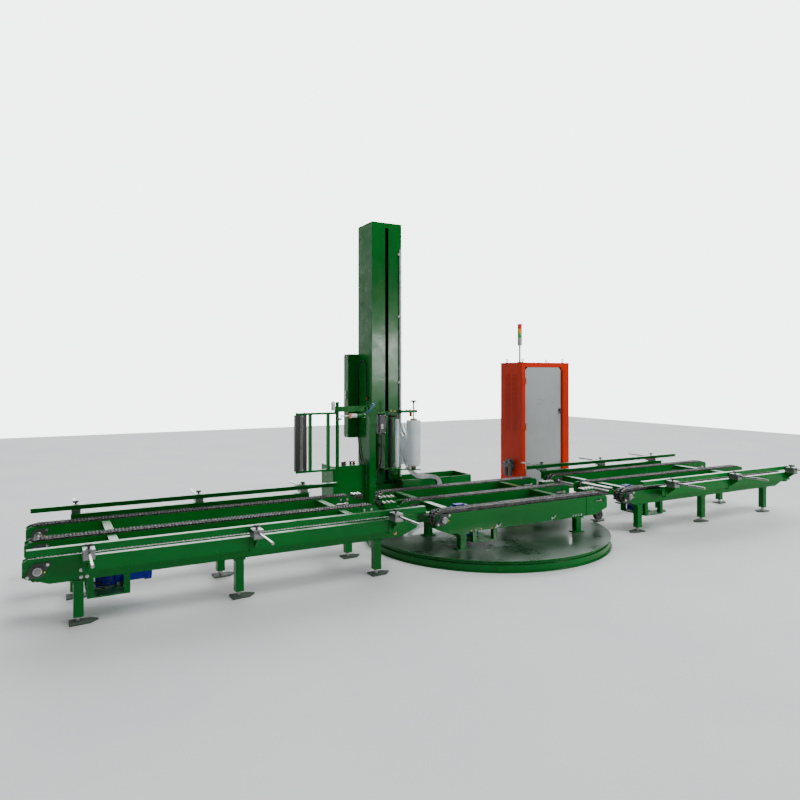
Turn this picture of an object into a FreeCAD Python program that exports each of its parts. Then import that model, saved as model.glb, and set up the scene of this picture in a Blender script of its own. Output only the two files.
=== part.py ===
import FreeCAD, Part
import math
import os

# Turntable pallet wrapper: infeed chain conveyor, turntable with its own chain
# conveyor, outfeed chain conveyor, film mast with carriage and wiper arm, and
# control cabinet.  Millimetres, +Z up.  The origin is the turntable's axis at
# floor level; +X runs the way the pallets travel and +Y points to the mast.

V = FreeCAD.Vector
X_AXIS = V(1, 0, 0)
Y_AXIS = V(0, 1, 0)
Z_AXIS = V(0, 0, 1)

# ---------------------------------------------------------------- dimensions
STRAND_PITCH = 520.0        # between neighbouring chain strands
STRAND_Y = (-STRAND_PITCH, 0.0, STRAND_PITCH)
STRAND_HALF = 62.0          # half width of one strand's pair of side channels
WEB = 5.0                   # side channel's sheet thickness
LIP = 10.0                  # side channel's flange
CHAIN_TOP = 455.0           # pallet level
CHAIN_THICK = 30.0
CHAIN_WIDTH = 100.0
SPROCKET_PITCH_R = 64.0
SPROCKET_TEETH = 16
CHAIN_AXIS_Z = CHAIN_TOP - CHAIN_THICK / 2 - SPROCKET_PITCH_R
FRAME_TOP = 440.0
NEAR_TOP = 420.0            # outer channel of the near strand, table and outfeed
INFEED_NEAR_TOP = 452.0     # the infeed's reaches up to the guide
FRAME_LOW = 282.0           # underside of the fixed strands
TABLE_LOW = 240.0           # underside of the rotating strands
GEARBOX_Y = -STRAND_PITCH + 112   # gearbox face beside the near strand
MOTOR_WHEEL_OFFSET = 14.0
SHAFT_R = 20.0
STUB_R = 12.0
RUN_FIT = 0.05              # radial clearance of every running fit

INFEED_START = -3956.0
INFEED_ENDS = (-1125.0, -1215.0, -1215.0)
OUTFEED_STARTS = (1285.0, 1215.0, 1260.0)
OUTFEED_END = 3960.0
TABLE_START = -935.0
TABLE_CROSS = (-740.0, 540.0)
WHEEL = (985.0, -520.0, 220.0)   # guide wheel under the table's end
CROSS_HIGH = 386.0          # underside of the end cross members
TABLE_END = 1040.0
INFEED_SHAFT_X = -3871.0
OUTFEED_SHAFT_X = 1344.0
STUB_INSET = 85.0           # take-up stub from a fixed strand's end
TABLE_SHAFT_X = -870.0
TABLE_STUB_X = 955.0

GUIDE_TOP = 533.0
GUIDE_SIDE = 45.0
ROD_R = 10.0
ROD_Z = 503.0
ROD_REACH = 430.0
OUTRIGGER_LOW = 366.0       # channel that carries the guide's clamps
OUTRIGGER_TOP = 460.0
CLAMP_HALF = 35.0
CLAMP_DEPTH = 116.0
CLAMP_Z = (462.0, 524.0)
FRONT_GUIDE_Y = -700.0
BACK_GUIDE_Y = 768.0
INFEED_CLAMPS = (-3591.0, -2526.0, -1417.0)
INFEED_BACK_CLAMPS = (-3600.0, -2600.0, -1603.0)
OUTFEED_CLAMPS = (1780.0, 2790.0, 3820.0)
OUTFEED_BACK_CLAMPS = (1430.0, 2400.0, 3330.0)
INFEED_GUIDES = ((-3930.0, -1110.0), (-3930.0, -1270.0))
OUTFEED_GUIDES = ((1425.0, 4000.0), (1150.0, 3740.0))

LEG = 60.0
LEG_ROWS = (-560.0, 0.0, 560.0)
INFEED_LEGS = (-3640.0, -2600.0, -1490.0)
OUTFEED_LEGS = (1500.0, 2490.0, 3590.0)
TABLE_LEGS = (-665.0, 665.0)

DISC_R = 1180.0
DISC_TOP = 95.0
DISC_THICK = 8.0
RING_R = 1172.0
RING_TOP = 60.0
TRACK_TOP = 78.0            # inner rim behind the ring, seen in the gap below the disc
PIVOT_R = 100.0
GEAR_MODULE = 8.0
GEAR_TEETH = 60
PINION_TEETH = 15

MAST_X = (-390.0, 10.0)
MAST_Y = (1750.0, 2140.0)
MAST_TOP = 3440.0
MAST_FOOT = 20.0
MAST_SHEET = 6.0
SLOT_X = (-213.0, -168.0)
SLOT_Z = (330.0, 3380.0)

BASE_SHEET = 6.0
DRIVE_BOX = (-998.0, -590.0, 1500.0, 1840.0, 575.0)
PLINTH_TOP = 300.0
TRAY = (-110.0, 870.0, 1500.0, 1900.0, 355.0)
SWITCH_BOX = (-518.0, -150.0, 823.0, 1860.0)
SWITCH_DEPTH = 148.0

ROLL = (-58.0, 1330.0)      # film roll's axis
ROLL_R = 83.0
ROLL_Z = (560.0, 1077.0)
ROLLER_R = 24.0
ROLLER_1 = (-281.0, 1470.0)
ROLLER_2 = (-229.0, 1420.0)
ROLLER_Z = (531.0, 1090.0)
CARRIAGE_LOW = 505.0
CARRIAGE_HIGH = 1165.0

WIPER_POST = (-549.0, 1450.0)
WIPER_PIVOT = (-968.0, 1450.0)
WIPER_Z = (551.0, 1177.0)   # lower and upper bar of the swinging frame

POST_HALF = 40.0
ARM_Z = (1190.0, 1250.0)    # fixed arm between the post and the pivot
BARREL_Y = 1368.0           # air cylinder's axis
BARREL_Z = 1148.0

CABINET_X = (1641.0, 2451.0)
CABINET_Y = (1450.0, 1899.0)
CABINET_TOP = 1765.0
CABINET_PLINTH = 100.0
CABINET_SHEET = 3.0
DOOR_X = (1699.0, 2311.0)
DOOR_Z = (150.0, 1703.0)
DOOR_CORNER = 40.0
LATCH_Z = 1130.0
TOWER = (1709.0, 1580.0)
AIR_UNIT_Y = 1690.0
AIR_UNIT_Z = 380.0

NODES = {}


# ------------------------------------------------------------------ helpers
def box(x0, x1, y0, y1, z0, z1):
    return Part.makeBox(x1 - x0, y1 - y0, z1 - z0, V(x0, y0, z0))


def cyl(x, y, z, radius, length, axis=Z_AXIS):
    return Part.makeCylinder(radius, length, V(x, y, z), axis)


def tube(x, y, z, outer, inner, length, axis=Z_AXIS):
    return cyl(x, y, z, outer, length, axis).cut(cyl(x, y, z, inner, length, axis))


def prism(points, direction):
    """Closed polygon through 3-D points, pushed along a vector."""
    loop = [V(*p) for p in points]
    return Part.Face(Part.makePolygon(loop + [loop[0]])).extrude(direction)


def fuse(shapes):
    return shapes[0].multiFuse(shapes[1:]).removeSplitter()


def add(name, *shapes):
    """Collect separate solids under one sub-part name."""
    NODES.setdefault(name, []).extend(shapes)


def sheet_walls(x0, x1, y0, y1, z0, z1, sheet):
    """Four upright sheets round a rectangle."""
    return (
        box(x0, x1, y0, y0 + sheet, z0, z1),
        box(x0, x1, y1 - sheet, y1, z0, z1),
        box(x0, x0 + sheet, y0 + sheet, y1 - sheet, z0, z1),
        box(x1 - sheet, x1, y0 + sheet, y1 - sheet, z0, z1),
    )


def rounded_box(x0, x1, y0, y1, z0, z1, radius):
    body = box(x0, x1, y0, y1, z0, z1)
    return body.makeFillet(radius, body.Edges)


def toothed_wheel(x, y, z, teeth, root_r, tip_r, fill, length, axis, turn=0.0):
    """Wheel with tapered teeth, its face plane at (x, y, z), bored later."""
    points = []
    step = 2 * math.pi / teeth
    for tooth in range(teeth):
        centre = tooth * step + turn
        for radius, offset in ((root_r, -0.62), (tip_r, -0.30), (tip_r, 0.30), (root_r, 0.62)):
            angle = centre + offset * fill * step
            points.append((radius * math.cos(angle), radius * math.sin(angle)))
    if axis == Z_AXIS:
        loop = [(x + a, y + b, z) for a, b in points]
    else:
        loop = [(x + a, y, z + b) for a, b in points]
    return prism(loop, axis * length)


def chain_loop(x0, z0, x1, z1, radius, y, width, thick):
    """Endless band round two equal wheels; radius is the pitch radius."""
    def stadium(r):
        dx = x1 - x0
        dz = z1 - z0
        run = math.hypot(dx, dz)
        ux = dx / run
        uz = dz / run
        nx = -uz
        nz = ux
        y0 = y - width / 2
        a = V(x0 + nx * r, y0, z0 + nz * r)
        b = V(x1 + nx * r, y0, z1 + nz * r)
        c = V(x1 - nx * r, y0, z1 - nz * r)
        d = V(x0 - nx * r, y0, z0 - nz * r)
        right = V(x1 + ux * r, y0, z1 + uz * r)
        left = V(x0 - ux * r, y0, z0 - uz * r)
        edges = [
            Part.LineSegment(a, b).toShape(),
            Part.Arc(b, right, c).toShape(),
            Part.LineSegment(c, d).toShape(),
            Part.Arc(d, left, a).toShape(),
        ]
        return Part.Face(Part.Wire(edges)).extrude(Y_AXIS * width)
    return stadium(radius + thick / 2).cut(stadium(radius - thick / 2))


def bent_tube(route, radius, label):
    """Tube along straight runs joined by tangent arcs of the largest size."""
    points = [V(*p) for p in route]
    runs = [(b - a).Length for a, b in zip(points, points[1:])]
    edges = []
    start = points[0]
    length = 0.0
    radii = []
    for i in range(1, len(points) - 1):
        into = (points[i] - points[i - 1]).normalize()
        out = (points[i + 1] - points[i]).normalize()
        turn = into.getAngle(out)
        setback = 0.45 * min(runs[i - 1], runs[i])
        bend = setback / math.tan(turn / 2)
        radii.append(round(bend, 1))
        arc_in = points[i] - into * setback
        arc_out = points[i] + out * setback
        inward = (out - into).normalize()
        middle = points[i] + inward * (bend / math.cos(turn / 2) - bend)
        edges.append(Part.LineSegment(start, arc_in).toShape())
        edges.append(Part.Arc(arc_in, middle, arc_out).toShape())
        length += (arc_in - start).Length + bend * turn
        start = arc_out
    edges.append(Part.LineSegment(start, points[-1]).toShape())
    length += (points[-1] - start).Length
    heading = (points[1] - points[0]).normalize()
    profile = Part.Wire([Part.Circle(points[0], heading, radius).toShape()])
    solid = Part.Wire(edges).makePipeShell([profile], True, True)
    section = math.pi * radius ** 2 * length
    print(label, "length", round(length), "radii", radii, "volume ratio",
          round(solid.Volume / section, 4))
    return solid


def hex_bolt(x, y, z, across, height, axis):
    """Hexagon head standing on the point (x, y, z)."""
    points = []
    for corner in range(6):
        angle = corner * math.pi / 3
        a = across / 2 * math.cos(angle)
        b = across / 2 * math.sin(angle)
        if axis == Z_AXIS:
            points.append((x + a, y + b, z))
        elif abs(axis.y) > 0:
            points.append((x + a, y, z + b))
        else:
            points.append((x, y + a, z + b))
    return prism(points, axis * height)


# ------------------------------------------------------- one chain conveyor
def side_channel(x0, x1, y_web, inward, z_low, z_top, shaft_x, stub_x):
    """Rolled channel on one side of a strand, chamfered below at both ends."""
    chamfer = 58.0
    slope = 150.0
    y0 = min(y_web, y_web + inward * WEB)
    profile = [
        (x0, y0, z_low + chamfer),
        (x0 + slope, y0, z_low),
        (x1 - slope, y0, z_low),
        (x1, y0, z_low + chamfer),
        (x1, y0, z_top - 18),
        (x1 - 30, y0, z_top),
        (x0 + 30, y0, z_top),
        (x0, y0, z_top - 18),
    ]
    web = prism(profile, Y_AXIS * WEB)
    lip_y = sorted((y_web, y_web + inward * LIP))
    parts = [web, box(x0 + slope, x1 - slope, lip_y[0], lip_y[1], z_low, z_low + WEB)]
    if z_top >= FRAME_TOP:
        parts.append(box(x0 + 130, x1 - 130, lip_y[0], lip_y[1], z_top - WEB, z_top))
    hole = cyl(shaft_x, y0 - 1, CHAIN_AXIS_Z, SHAFT_R + 6, WEB + 2, Y_AXIS)
    slot_r = STUB_R + RUN_FIT
    slot = box(stub_x - 35, stub_x + 25, y0 - 1, y0 + WEB + 1,
               CHAIN_AXIS_Z - slot_r, CHAIN_AXIS_Z + slot_r)
    return fuse(parts).cut(hole).cut(slot)


def strand(node, y, x0, x1, z_low, shaft_x, stub_x, front_top=FRAME_TOP):
    """Two side channels and the wear strips that carry the chain."""
    add(node, side_channel(x0, x1, y - STRAND_HALF, 1, z_low, front_top, shaft_x, stub_x))
    add(node, side_channel(x0, x1, y + STRAND_HALF, -1, z_low, FRAME_TOP, shaft_x, stub_x))
    inner = CHAIN_AXIS_Z + SPROCKET_PITCH_R - CHAIN_THICK / 2
    rail = (min(shaft_x, stub_x) + 75, max(shaft_x, stub_x) - 75)
    half = STRAND_HALF - WEB
    add(node, box(rail[0], rail[1], y - half, y + half, inner - 14, inner - 8))
    add(node, box(rail[0], rail[1], y - 22, y + 22, inner - 8, inner))


def strand_chain(node, y, shaft_x, stub_x):
    add(node, chain_loop(shaft_x, CHAIN_AXIS_Z, stub_x, CHAIN_AXIS_Z,
                         SPROCKET_PITCH_R, y, CHAIN_WIDTH, CHAIN_THICK))


def sprocket(x, y, width, bore, turn=0.0):
    root = SPROCKET_PITCH_R - CHAIN_THICK / 2 - 6
    tip = SPROCKET_PITCH_R - CHAIN_THICK / 2 - 0.5
    wheel = toothed_wheel(x, y - width / 2, CHAIN_AXIS_Z, SPROCKET_TEETH, root, tip, 0.72,
                          width, Y_AXIS, turn)
    return wheel.cut(cyl(x, y - width, CHAIN_AXIS_Z, bore, 2 * width, Y_AXIS))


def drive_shaft(node, x):
    """Through shaft with one sprocket per strand, outboard of the bearings."""
    reach = STRAND_PITCH + STRAND_HALF + 42
    shaft = cyl(x, -reach, CHAIN_AXIS_Z, SHAFT_R, 2 * reach, Y_AXIS)
    add(node, shaft)
    for y in STRAND_Y:
        add(node, sprocket(x, y, 40, SHAFT_R))


def idler_set(node, x):
    """Stub shafts on one line, with a sprocket each."""
    reach = STRAND_HALF + 6
    for y in STRAND_Y:
        add(node, cyl(x, y - reach, CHAIN_AXIS_Z, STUB_R, 2 * reach, Y_AXIS))
        add(node, sprocket(x, y, 40, STUB_R))


def flange_bearing(x, y_face, outward):
    """Two-bolt flange unit with its insert, grease nipple and bolt heads."""
    axis = Y_AXIS * outward
    z = CHAIN_AXIS_Z
    bolt_x = 56.0
    bolt_z = 34.0
    parts = [
        cyl(x, y_face, z, 46, 14, axis),
        cyl(x - bolt_x, y_face, z - bolt_z, 15, 10, axis),
        cyl(x + bolt_x, y_face, z + bolt_z, 15, 10, axis),
        cyl(x, y_face, z, 36, 22, axis),
        cyl(x, y_face, z, 28, 28, axis),
    ]
    lean = math.atan2(bolt_z, bolt_x)
    arm = math.hypot(bolt_x, bolt_z)
    ux = math.cos(lean)
    uz = math.sin(lean)
    corners = []
    for along, across in ((-arm, -15), (0, -44), (arm, -15), (arm, 15), (0, 44), (-arm, 15)):
        corners.append((x + along * ux - across * uz, y_face, z + along * uz + across * ux))
    parts.append(prism(corners, axis * 10))
    for side in (-1, 1):
        parts.append(hex_bolt(x + bolt_x * side, y_face + outward * 10, z + bolt_z * side,
                              20, 9, axis))
    parts.append(cyl(x + 40, y_face + outward * 12, z - 8, 4, 12, axis))
    body = fuse(parts)
    return body.cut(cyl(x, y_face - 30, z, SHAFT_R + RUN_FIT, 80, Y_AXIS))


def bearings(node, x):
    for y in STRAND_Y:
        for side in (-1, 1):
            add(node, flange_bearing(x, y + side * STRAND_HALF, side))


def cross_members(node, xs, z_low):
    """Welded square bars between neighbouring strands."""
    gap = STRAND_PITCH / 2 - STRAND_HALF
    for x in xs:
        for y in (-STRAND_PITCH / 2, STRAND_PITCH / 2):
            add(node, box(x - 30, x + 30, y - gap, y + gap, z_low, z_low + 50))


def levelling_leg(node, x, y, z_top, lean):
    """Square tube leg, jack screw and a pointed floor plate."""
    half = LEG / 2
    add(node, box(x - half, x + half, y - half, y + half, 46, z_top - 12))
    add(node, box(x - half - 12, x + half + 12, y - half, y + half, z_top - 12, z_top))
    screw = cyl(x, y, 12, 10, 34)
    add(node, screw.fuse(hex_bolt(x, y, 26, 34, 14, Z_AXIS)))
    plate = [
        (x - 55 * lean, y - 55, 0),
        (x + 70 * lean, y - 45, 0),
        (x + 120 * lean, y + 10 * lean, 0),
        (x + 70 * lean, y + 45, 0),
        (x - 55 * lean, y + 55, 0),
    ]
    add(node, prism(plate, Z_AXIS * 12))


def motor_cradle(node, x0, x1, z_top, z_low):
    """Open box of flat bars that carries the gearmotor under the near strand."""
    y0 = -STRAND_PITCH - STRAND_HALF
    y1 = y0 + 330
    for x in (x0, x1 - 40):
        add(node, box(x, x + 40, y0, y0 + 40, z_low, z_top))
        add(node, box(x, x + 40, y1 - 40, y1, z_low, z_top + 20))
    add(node, box(x0, x1, y0, y1, z_low - 8, z_low))


def gearmotor(node, chain_node, x, z, shaft_x, raised):
    """Worm gearbox, finned motor and terminal box, with the chain to the shaft.

    The motor lies beside the gearbox, or raised beside a neck on top of it.
    """
    y = GEARBOX_Y
    add(node, rounded_box(x - 60, x + 60, y, y + 110, z - 55, z + 55, 10))
    if raised:
        motor_z = CHAIN_AXIS_Z - 10
        add(node, box(x - 46, x - 10, y + 25, y + 110, z + 55, motor_z + 58))
        add(node, cyl(x - 46, y + 80, motor_z, 52, 130, X_AXIS * -1))
        add(node, cyl(x - 176, y + 80, motor_z, 56, 20, X_AXIS * -1))
        add(node, box(x - 150, x - 60, y + 50, y + 110, motor_z + 52, motor_z + 70))
    else:
        add(node, cyl(x + 60, y + 55, z, 62, 16, X_AXIS))
        add(node, cyl(x + 76, y + 55, z, 52, 180, X_AXIS))
        add(node, cyl(x + 256, y + 55, z, 58, 44, X_AXIS))
        add(node, box(x + 110, x + 200, y - 12, y + 8, z - 30, z + 40))
    add(node, cyl(x, y - 34, z, 12, 34, Y_AXIS))
    wheel_y = y - MOTOR_WHEEL_OFFSET
    add(node, cyl(x, wheel_y - 7, z, 33, 14, Y_AXIS).cut(
        cyl(x, wheel_y - 8, z, 12, 16, Y_AXIS)))
    add(chain_node, chain_loop(x, z, shaft_x, CHAIN_AXIS_Z, 38, wheel_y, 16, 8))


def shaft_pulley(node, x):
    """Small sprocket that takes the gearmotor's chain."""
    y = GEARBOX_Y - MOTOR_WHEEL_OFFSET
    add(node, cyl(x, y - 7, CHAIN_AXIS_Z, 33, 14, Y_AXIS).cut(
        cyl(x, y - 8, CHAIN_AXIS_Z, SHAFT_R, 16, Y_AXIS)))


# ----------------------------------------------------------- side guides
def side_guide(node, x0, x1, y_face, side, clamp_xs):
    """Angle rail with its adjusting rods; side is -1 in front, +1 behind."""
    y_in = y_face - side * GUIDE_SIDE
    upright = sorted((y_face, y_face - side * 5))
    top = sorted((y_face, y_in))
    rail = fuse([
        box(x0, x1, upright[0], upright[1], GUIDE_TOP - GUIDE_SIDE, GUIDE_TOP),
        box(x0, x1, top[0], top[1], GUIDE_TOP - 5, GUIDE_TOP),
    ])
    add(node, rail)
    for x in clamp_xs:
        rod = cyl(x, y_face, ROD_Z, ROD_R, ROD_REACH, Y_AXIS * side)
        add(node, rod)


def outrigger(node, x0, x1, y_face, side, clamp_xs):
    """Channel under the guide, its arms from the strand and the clamps' brackets."""
    y_in = y_face - side * GUIDE_SIDE
    flange = sorted((y_face, y_in))
    web = sorted((y_face, y_face - side * 5))
    channel = fuse([
        box(x0, x1, *web, OUTRIGGER_LOW, OUTRIGGER_TOP),
        box(x0, x1, *flange, OUTRIGGER_LOW, OUTRIGGER_LOW + 5),
        box(x0, x1, *flange, OUTRIGGER_TOP - 5, OUTRIGGER_TOP),
    ])
    add(node, channel)
    arm = sorted((side * (STRAND_PITCH + STRAND_HALF), y_in))
    plate = sorted((y_face, y_face + side * 6))
    shelf = sorted((y_face + side * 6, y_face + side * (CLAMP_DEPTH + 2)))
    for x in clamp_xs:
        add(node, box(x - 14, x + 30, *arm, 360, 410))
        add(node, box(x - 30, x + 30, *flange, OUTRIGGER_LOW - 16, OUTRIGGER_LOW))
        gusset = prism([
            (x - 4, y_face + side * 6, CLAMP_Z[0] - 8),
            (x - 4, y_face + side * (CLAMP_DEPTH - 6), CLAMP_Z[0] - 8),
            (x - 4, y_face + side * 6, OUTRIGGER_LOW + 14),
        ], X_AXIS * 8)
        add(node, fuse([
            box(x - 34, x + 34, *plate, OUTRIGGER_LOW + 6, CLAMP_Z[0]),
            box(x - 34, x + 34, *shelf, CLAMP_Z[0] - 8, CLAMP_Z[0]),
            gusset,
        ]))


def guide_clamp(x, y_face, side):
    """Aluminium block on its shelf; the rod slides through, the knob nips it."""
    y0, y1 = sorted((y_face + side * 6.5, y_face + side * CLAMP_DEPTH))
    block = box(x - CLAMP_HALF, x + CLAMP_HALF, y0, y1, *CLAMP_Z)
    block = block.makeFillet(5, [e for e in block.Edges if abs(e.tangentAt(0).z) > 0.9])
    bore = cyl(x, y0 - 5, ROD_Z, ROD_R + RUN_FIT, CLAMP_DEPTH + 10, Y_AXIS)
    slit = box(x - CLAMP_HALF, x - ROD_R - 2, y0 - 1, y1 + 1, ROD_Z - 1.5, ROD_Z + 1.5)
    return block.cut(bore).cut(slit)


def clamp_knob(x, y_face, side):
    """Six-lobed grip on a screw that stands on the block."""
    y = y_face + side * CLAMP_DEPTH / 2
    lobes = [cyl(x, y, 536, 17, 16)]
    for i in range(6):
        angle = i * math.pi / 3
        lobes.append(cyl(x + 15 * math.cos(angle), y + 15 * math.sin(angle), 536, 7, 16))
    lobes.append(cyl(x, y, 524, 8, 12))
    return fuse(lobes)


# ------------------------------------------------------------ transfer rollers
def roller_set(bracket_node, roller_node, x0, y, count, width, pitch):
    """Short rollers parallel to the strands' shafts, on a small folded bracket."""
    x1 = x0 + pitch * count
    z = CHAIN_TOP - 14
    lower = z - 30
    for side in (-1, 1):
        ear = sorted((y + side * (width / 2 + 2), y + side * (width / 2 + 6)))
        add(bracket_node, box(x0, x1, ear[0], ear[1], lower, z + 2))
    add(bracket_node, box(x0, x1, y - width / 2 - 6, y + width / 2 + 6, lower - 6, lower))
    for i in range(count):
        x = x0 + pitch * (i + 0.5)
        add(roller_node, cyl(x, y - width / 2, z + 1, 12, width, Y_AXIS))
    return lower - 6


# ==================================================================== infeed
INFEED_STUB_X = INFEED_ENDS[2] - STUB_INSET
FRONT_TOPS = (NEAR_TOP, FRAME_TOP, FRAME_TOP)
INFEED_FRONT_TOPS = (INFEED_NEAR_TOP, FRAME_TOP, FRAME_TOP)
for y, x_end, front_top in zip(STRAND_Y, INFEED_ENDS, INFEED_FRONT_TOPS):
    strand("infeed_frame", y, INFEED_START, x_end, FRAME_LOW, INFEED_SHAFT_X, INFEED_STUB_X,
           front_top)
    strand_chain("conveyor_chains", y, INFEED_SHAFT_X, INFEED_STUB_X)
cross_members("infeed_frame", (-3400, -1580), CROSS_HIGH)
cross_members("infeed_frame", (-2500,), FRAME_LOW + 12)
outrigger("infeed_frame", -3620, -1290, FRONT_GUIDE_Y, -1, INFEED_CLAMPS)
outrigger("infeed_frame", -3640, -1560, BACK_GUIDE_Y, 1, INFEED_BACK_CLAMPS)
motor_cradle("infeed_frame", -3590, -3330, FRAME_LOW, 160)
drive_shaft("infeed_drive_shaft", INFEED_SHAFT_X)
shaft_pulley("infeed_drive_shaft", INFEED_SHAFT_X)
idler_set("infeed_idlers", INFEED_STUB_X)
bearings("conveyor_bearings", INFEED_SHAFT_X)
gearmotor("conveyor_gearmotors", "conveyor_chains", -3470, 222, INFEED_SHAFT_X, False)
side_guide("infeed_front_guide", *INFEED_GUIDES[0], FRONT_GUIDE_Y, -1, INFEED_CLAMPS)
side_guide("infeed_back_guide", *INFEED_GUIDES[1], BACK_GUIDE_Y, 1, INFEED_BACK_CLAMPS)
for x in INFEED_LEGS:
    for y in LEG_ROWS:
        levelling_leg("infeed_legs", x, y, FRAME_LOW, 1)

# =================================================================== outfeed
OUTFEED_STUB_X = OUTFEED_END - STUB_INSET
for y, x_start, front_top in zip(STRAND_Y, OUTFEED_STARTS, FRONT_TOPS):
    strand("outfeed_frame", y, x_start, OUTFEED_END, FRAME_LOW, OUTFEED_SHAFT_X, OUTFEED_STUB_X,
           front_top)
    strand_chain("conveyor_chains", y, OUTFEED_SHAFT_X, OUTFEED_STUB_X)
cross_members("outfeed_frame", (1460, 3340), CROSS_HIGH)
cross_members("outfeed_frame", (2400,), FRAME_LOW + 12)
outrigger("outfeed_frame", 1700, 3900, FRONT_GUIDE_Y, -1, OUTFEED_CLAMPS)
outrigger("outfeed_frame", 1370, 3460, BACK_GUIDE_Y, 1, OUTFEED_BACK_CLAMPS)
motor_cradle("outfeed_frame", 1590, 1850, FRAME_LOW, 160)
drive_shaft("outfeed_drive_shaft", OUTFEED_SHAFT_X)
shaft_pulley("outfeed_drive_shaft", OUTFEED_SHAFT_X)
idler_set("outfeed_idlers", OUTFEED_STUB_X)
bearings("conveyor_bearings", OUTFEED_SHAFT_X)
gearmotor("conveyor_gearmotors", "conveyor_chains", 1690, 222, OUTFEED_SHAFT_X, True)
side_guide("outfeed_front_guide", *OUTFEED_GUIDES[0], FRONT_GUIDE_Y, -1, OUTFEED_CLAMPS)
side_guide("outfeed_back_guide", *OUTFEED_GUIDES[1], BACK_GUIDE_Y, 1, OUTFEED_BACK_CLAMPS)
for x in OUTFEED_LEGS:
    for y in LEG_ROWS:
        levelling_leg("outfeed_legs", x, y, FRAME_LOW, -1 if y < 0 else 1)

# -------------------------------------------------- clamps on both conveyors
for xs, y_face, side in (
    (INFEED_CLAMPS, FRONT_GUIDE_Y, -1),
    (INFEED_BACK_CLAMPS, BACK_GUIDE_Y, 1),
    (OUTFEED_CLAMPS, FRONT_GUIDE_Y, -1),
    (OUTFEED_BACK_CLAMPS, BACK_GUIDE_Y, 1),
):
    for x in xs:
        add("guide_clamps", guide_clamp(x, y_face, side))
        add("clamp_knobs", clamp_knob(x, y_face, side))

# ---------------------------------------------- fixed transfer rollers
roller_set("infeed_frame", "conveyor_transfer_rollers", INFEED_ENDS[2], STRAND_PITCH,
           3, 90, 32)
LONG_ROLLERS = (1222.0, 1252.0)
long_y = (-STRAND_PITCH + STRAND_HALF, -STRAND_HALF)
for x in LONG_ROLLERS:
    add("conveyor_transfer_rollers",
        cyl(x, long_y[0], CHAIN_TOP - 13, 12, long_y[1] - long_y[0], Y_AXIS))
for y in (long_y[0], long_y[1] - 6):
    support = box(1208, 1270, y, y + 6, 380, CHAIN_TOP - 14)
    for x in LONG_ROLLERS:
        support = support.cut(cyl(x, y - 1, CHAIN_TOP - 13, 12, 8, Y_AXIS))
    add("outfeed_frame", support)

# ================================================================= turntable
base_wall = tube(0, 0, 0, RING_R, RING_R - 14, RING_TOP)
base_track = tube(0, 0, 0, RING_R - 13, RING_R - 23, TRACK_TOP)
base_flange = tube(0, 0, 0, RING_R + 16, RING_R - 60, 6)
add("base_ring", fuse([base_wall, base_track, base_flange]))
lug = box(RING_R - 2, RING_R + 8, -30, 30, 6, RING_TOP)
lug.rotate(V(0, 0, 0), Z_AXIS, -120.5)
add("base_ring", lug.cut(cyl(0, 0, 0, RING_R, 100)))
SPOKES = 8
for i in range(SPOKES):
    spoke = box(140, RING_R - 60, -40, 40, 0, 22)
    spoke.rotate(V(0, 0, 0), Z_AXIS, i * 360 / SPOKES + 22.5)
    add("base_ring", spoke)
    pad = box(RING_R - 68, RING_R - 24, -45, 45, 6, DISC_TOP - DISC_THICK - 0.3)
    pad.rotate(V(0, 0, 0), Z_AXIS, i * 360 / SPOKES + 22.5)
    add("base_ring", pad)
add("base_ring", fuse([cyl(0, 0, 0, 140, 22), cyl(0, 0, 22, PIVOT_R - RUN_FIT, 62)]))

add("turntable_disc", cyl(0, 0, DISC_TOP - DISC_THICK, DISC_R, DISC_THICK))
gear_pitch_r = GEAR_MODULE * GEAR_TEETH / 2
pinion_pitch_r = GEAR_MODULE * PINION_TEETH / 2
gear_low = 34.0
gear_high = DISC_TOP - DISC_THICK
gear = toothed_wheel(0, 0, gear_low, GEAR_TEETH, gear_pitch_r - 9, gear_pitch_r + 6, 0.5,
                     gear_high - gear_low, Z_AXIS)
add("ring_gear", gear.cut(cyl(0, 0, 0, PIVOT_R, 100)))
pinion_x = -(gear_pitch_r + pinion_pitch_r + 1.0)
pinion = toothed_wheel(pinion_x, 0, gear_low + 2, PINION_TEETH, pinion_pitch_r - 9,
                       pinion_pitch_r + 6, 0.5, 34, Z_AXIS, math.pi / PINION_TEETH)
add("drive_pinion", fuse([pinion, cyl(pinion_x, 0, 26, 18, 46)]))
add("turntable_gearmotor",
    box(pinion_x - 70, pinion_x + 55, -50, 50, 0.5, 25.5),
    box(pinion_x - 150, pinion_x - 71, -45, 45, 0.5, 70),
    cyl(pinion_x - 150, 0, 37, 34, 230, X_AXIS * -1))

for y, front_top in zip(STRAND_Y, FRONT_TOPS):
    start = TABLE_START - 65 if y == 0 else TABLE_START
    strand("table_frame", y, start, TABLE_END, TABLE_LOW, TABLE_SHAFT_X, TABLE_STUB_X, front_top)
    strand_chain("table_chains", y, TABLE_SHAFT_X, TABLE_STUB_X)
cross_members("table_frame", TABLE_CROSS, CROSS_HIGH)
cross_members("table_frame", (30,), TABLE_LOW + 12)
motor_cradle("table_frame", -560, -300, TABLE_LOW, 150)
cover_y = -STRAND_PITCH - STRAND_HALF - 4
cover = prism([
    (TABLE_END - 270, cover_y, TABLE_LOW + 2),
    (TABLE_END - 150, cover_y, TABLE_LOW + 2),
    (TABLE_END + 2, cover_y, TABLE_LOW + 58),
    (TABLE_END + 2, cover_y, NEAR_TOP - 18),
    (TABLE_END - 30, cover_y, NEAR_TOP + 2),
    (TABLE_END - 270, cover_y, NEAR_TOP + 2),
], Y_AXIS * 4)
slot = box(TABLE_STUB_X - 75, TABLE_STUB_X + 40, cover_y - 1, cover_y + 5,
           CHAIN_AXIS_Z - 14, CHAIN_AXIS_Z + 14)
add("table_frame", cover.cut(slot))
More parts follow.
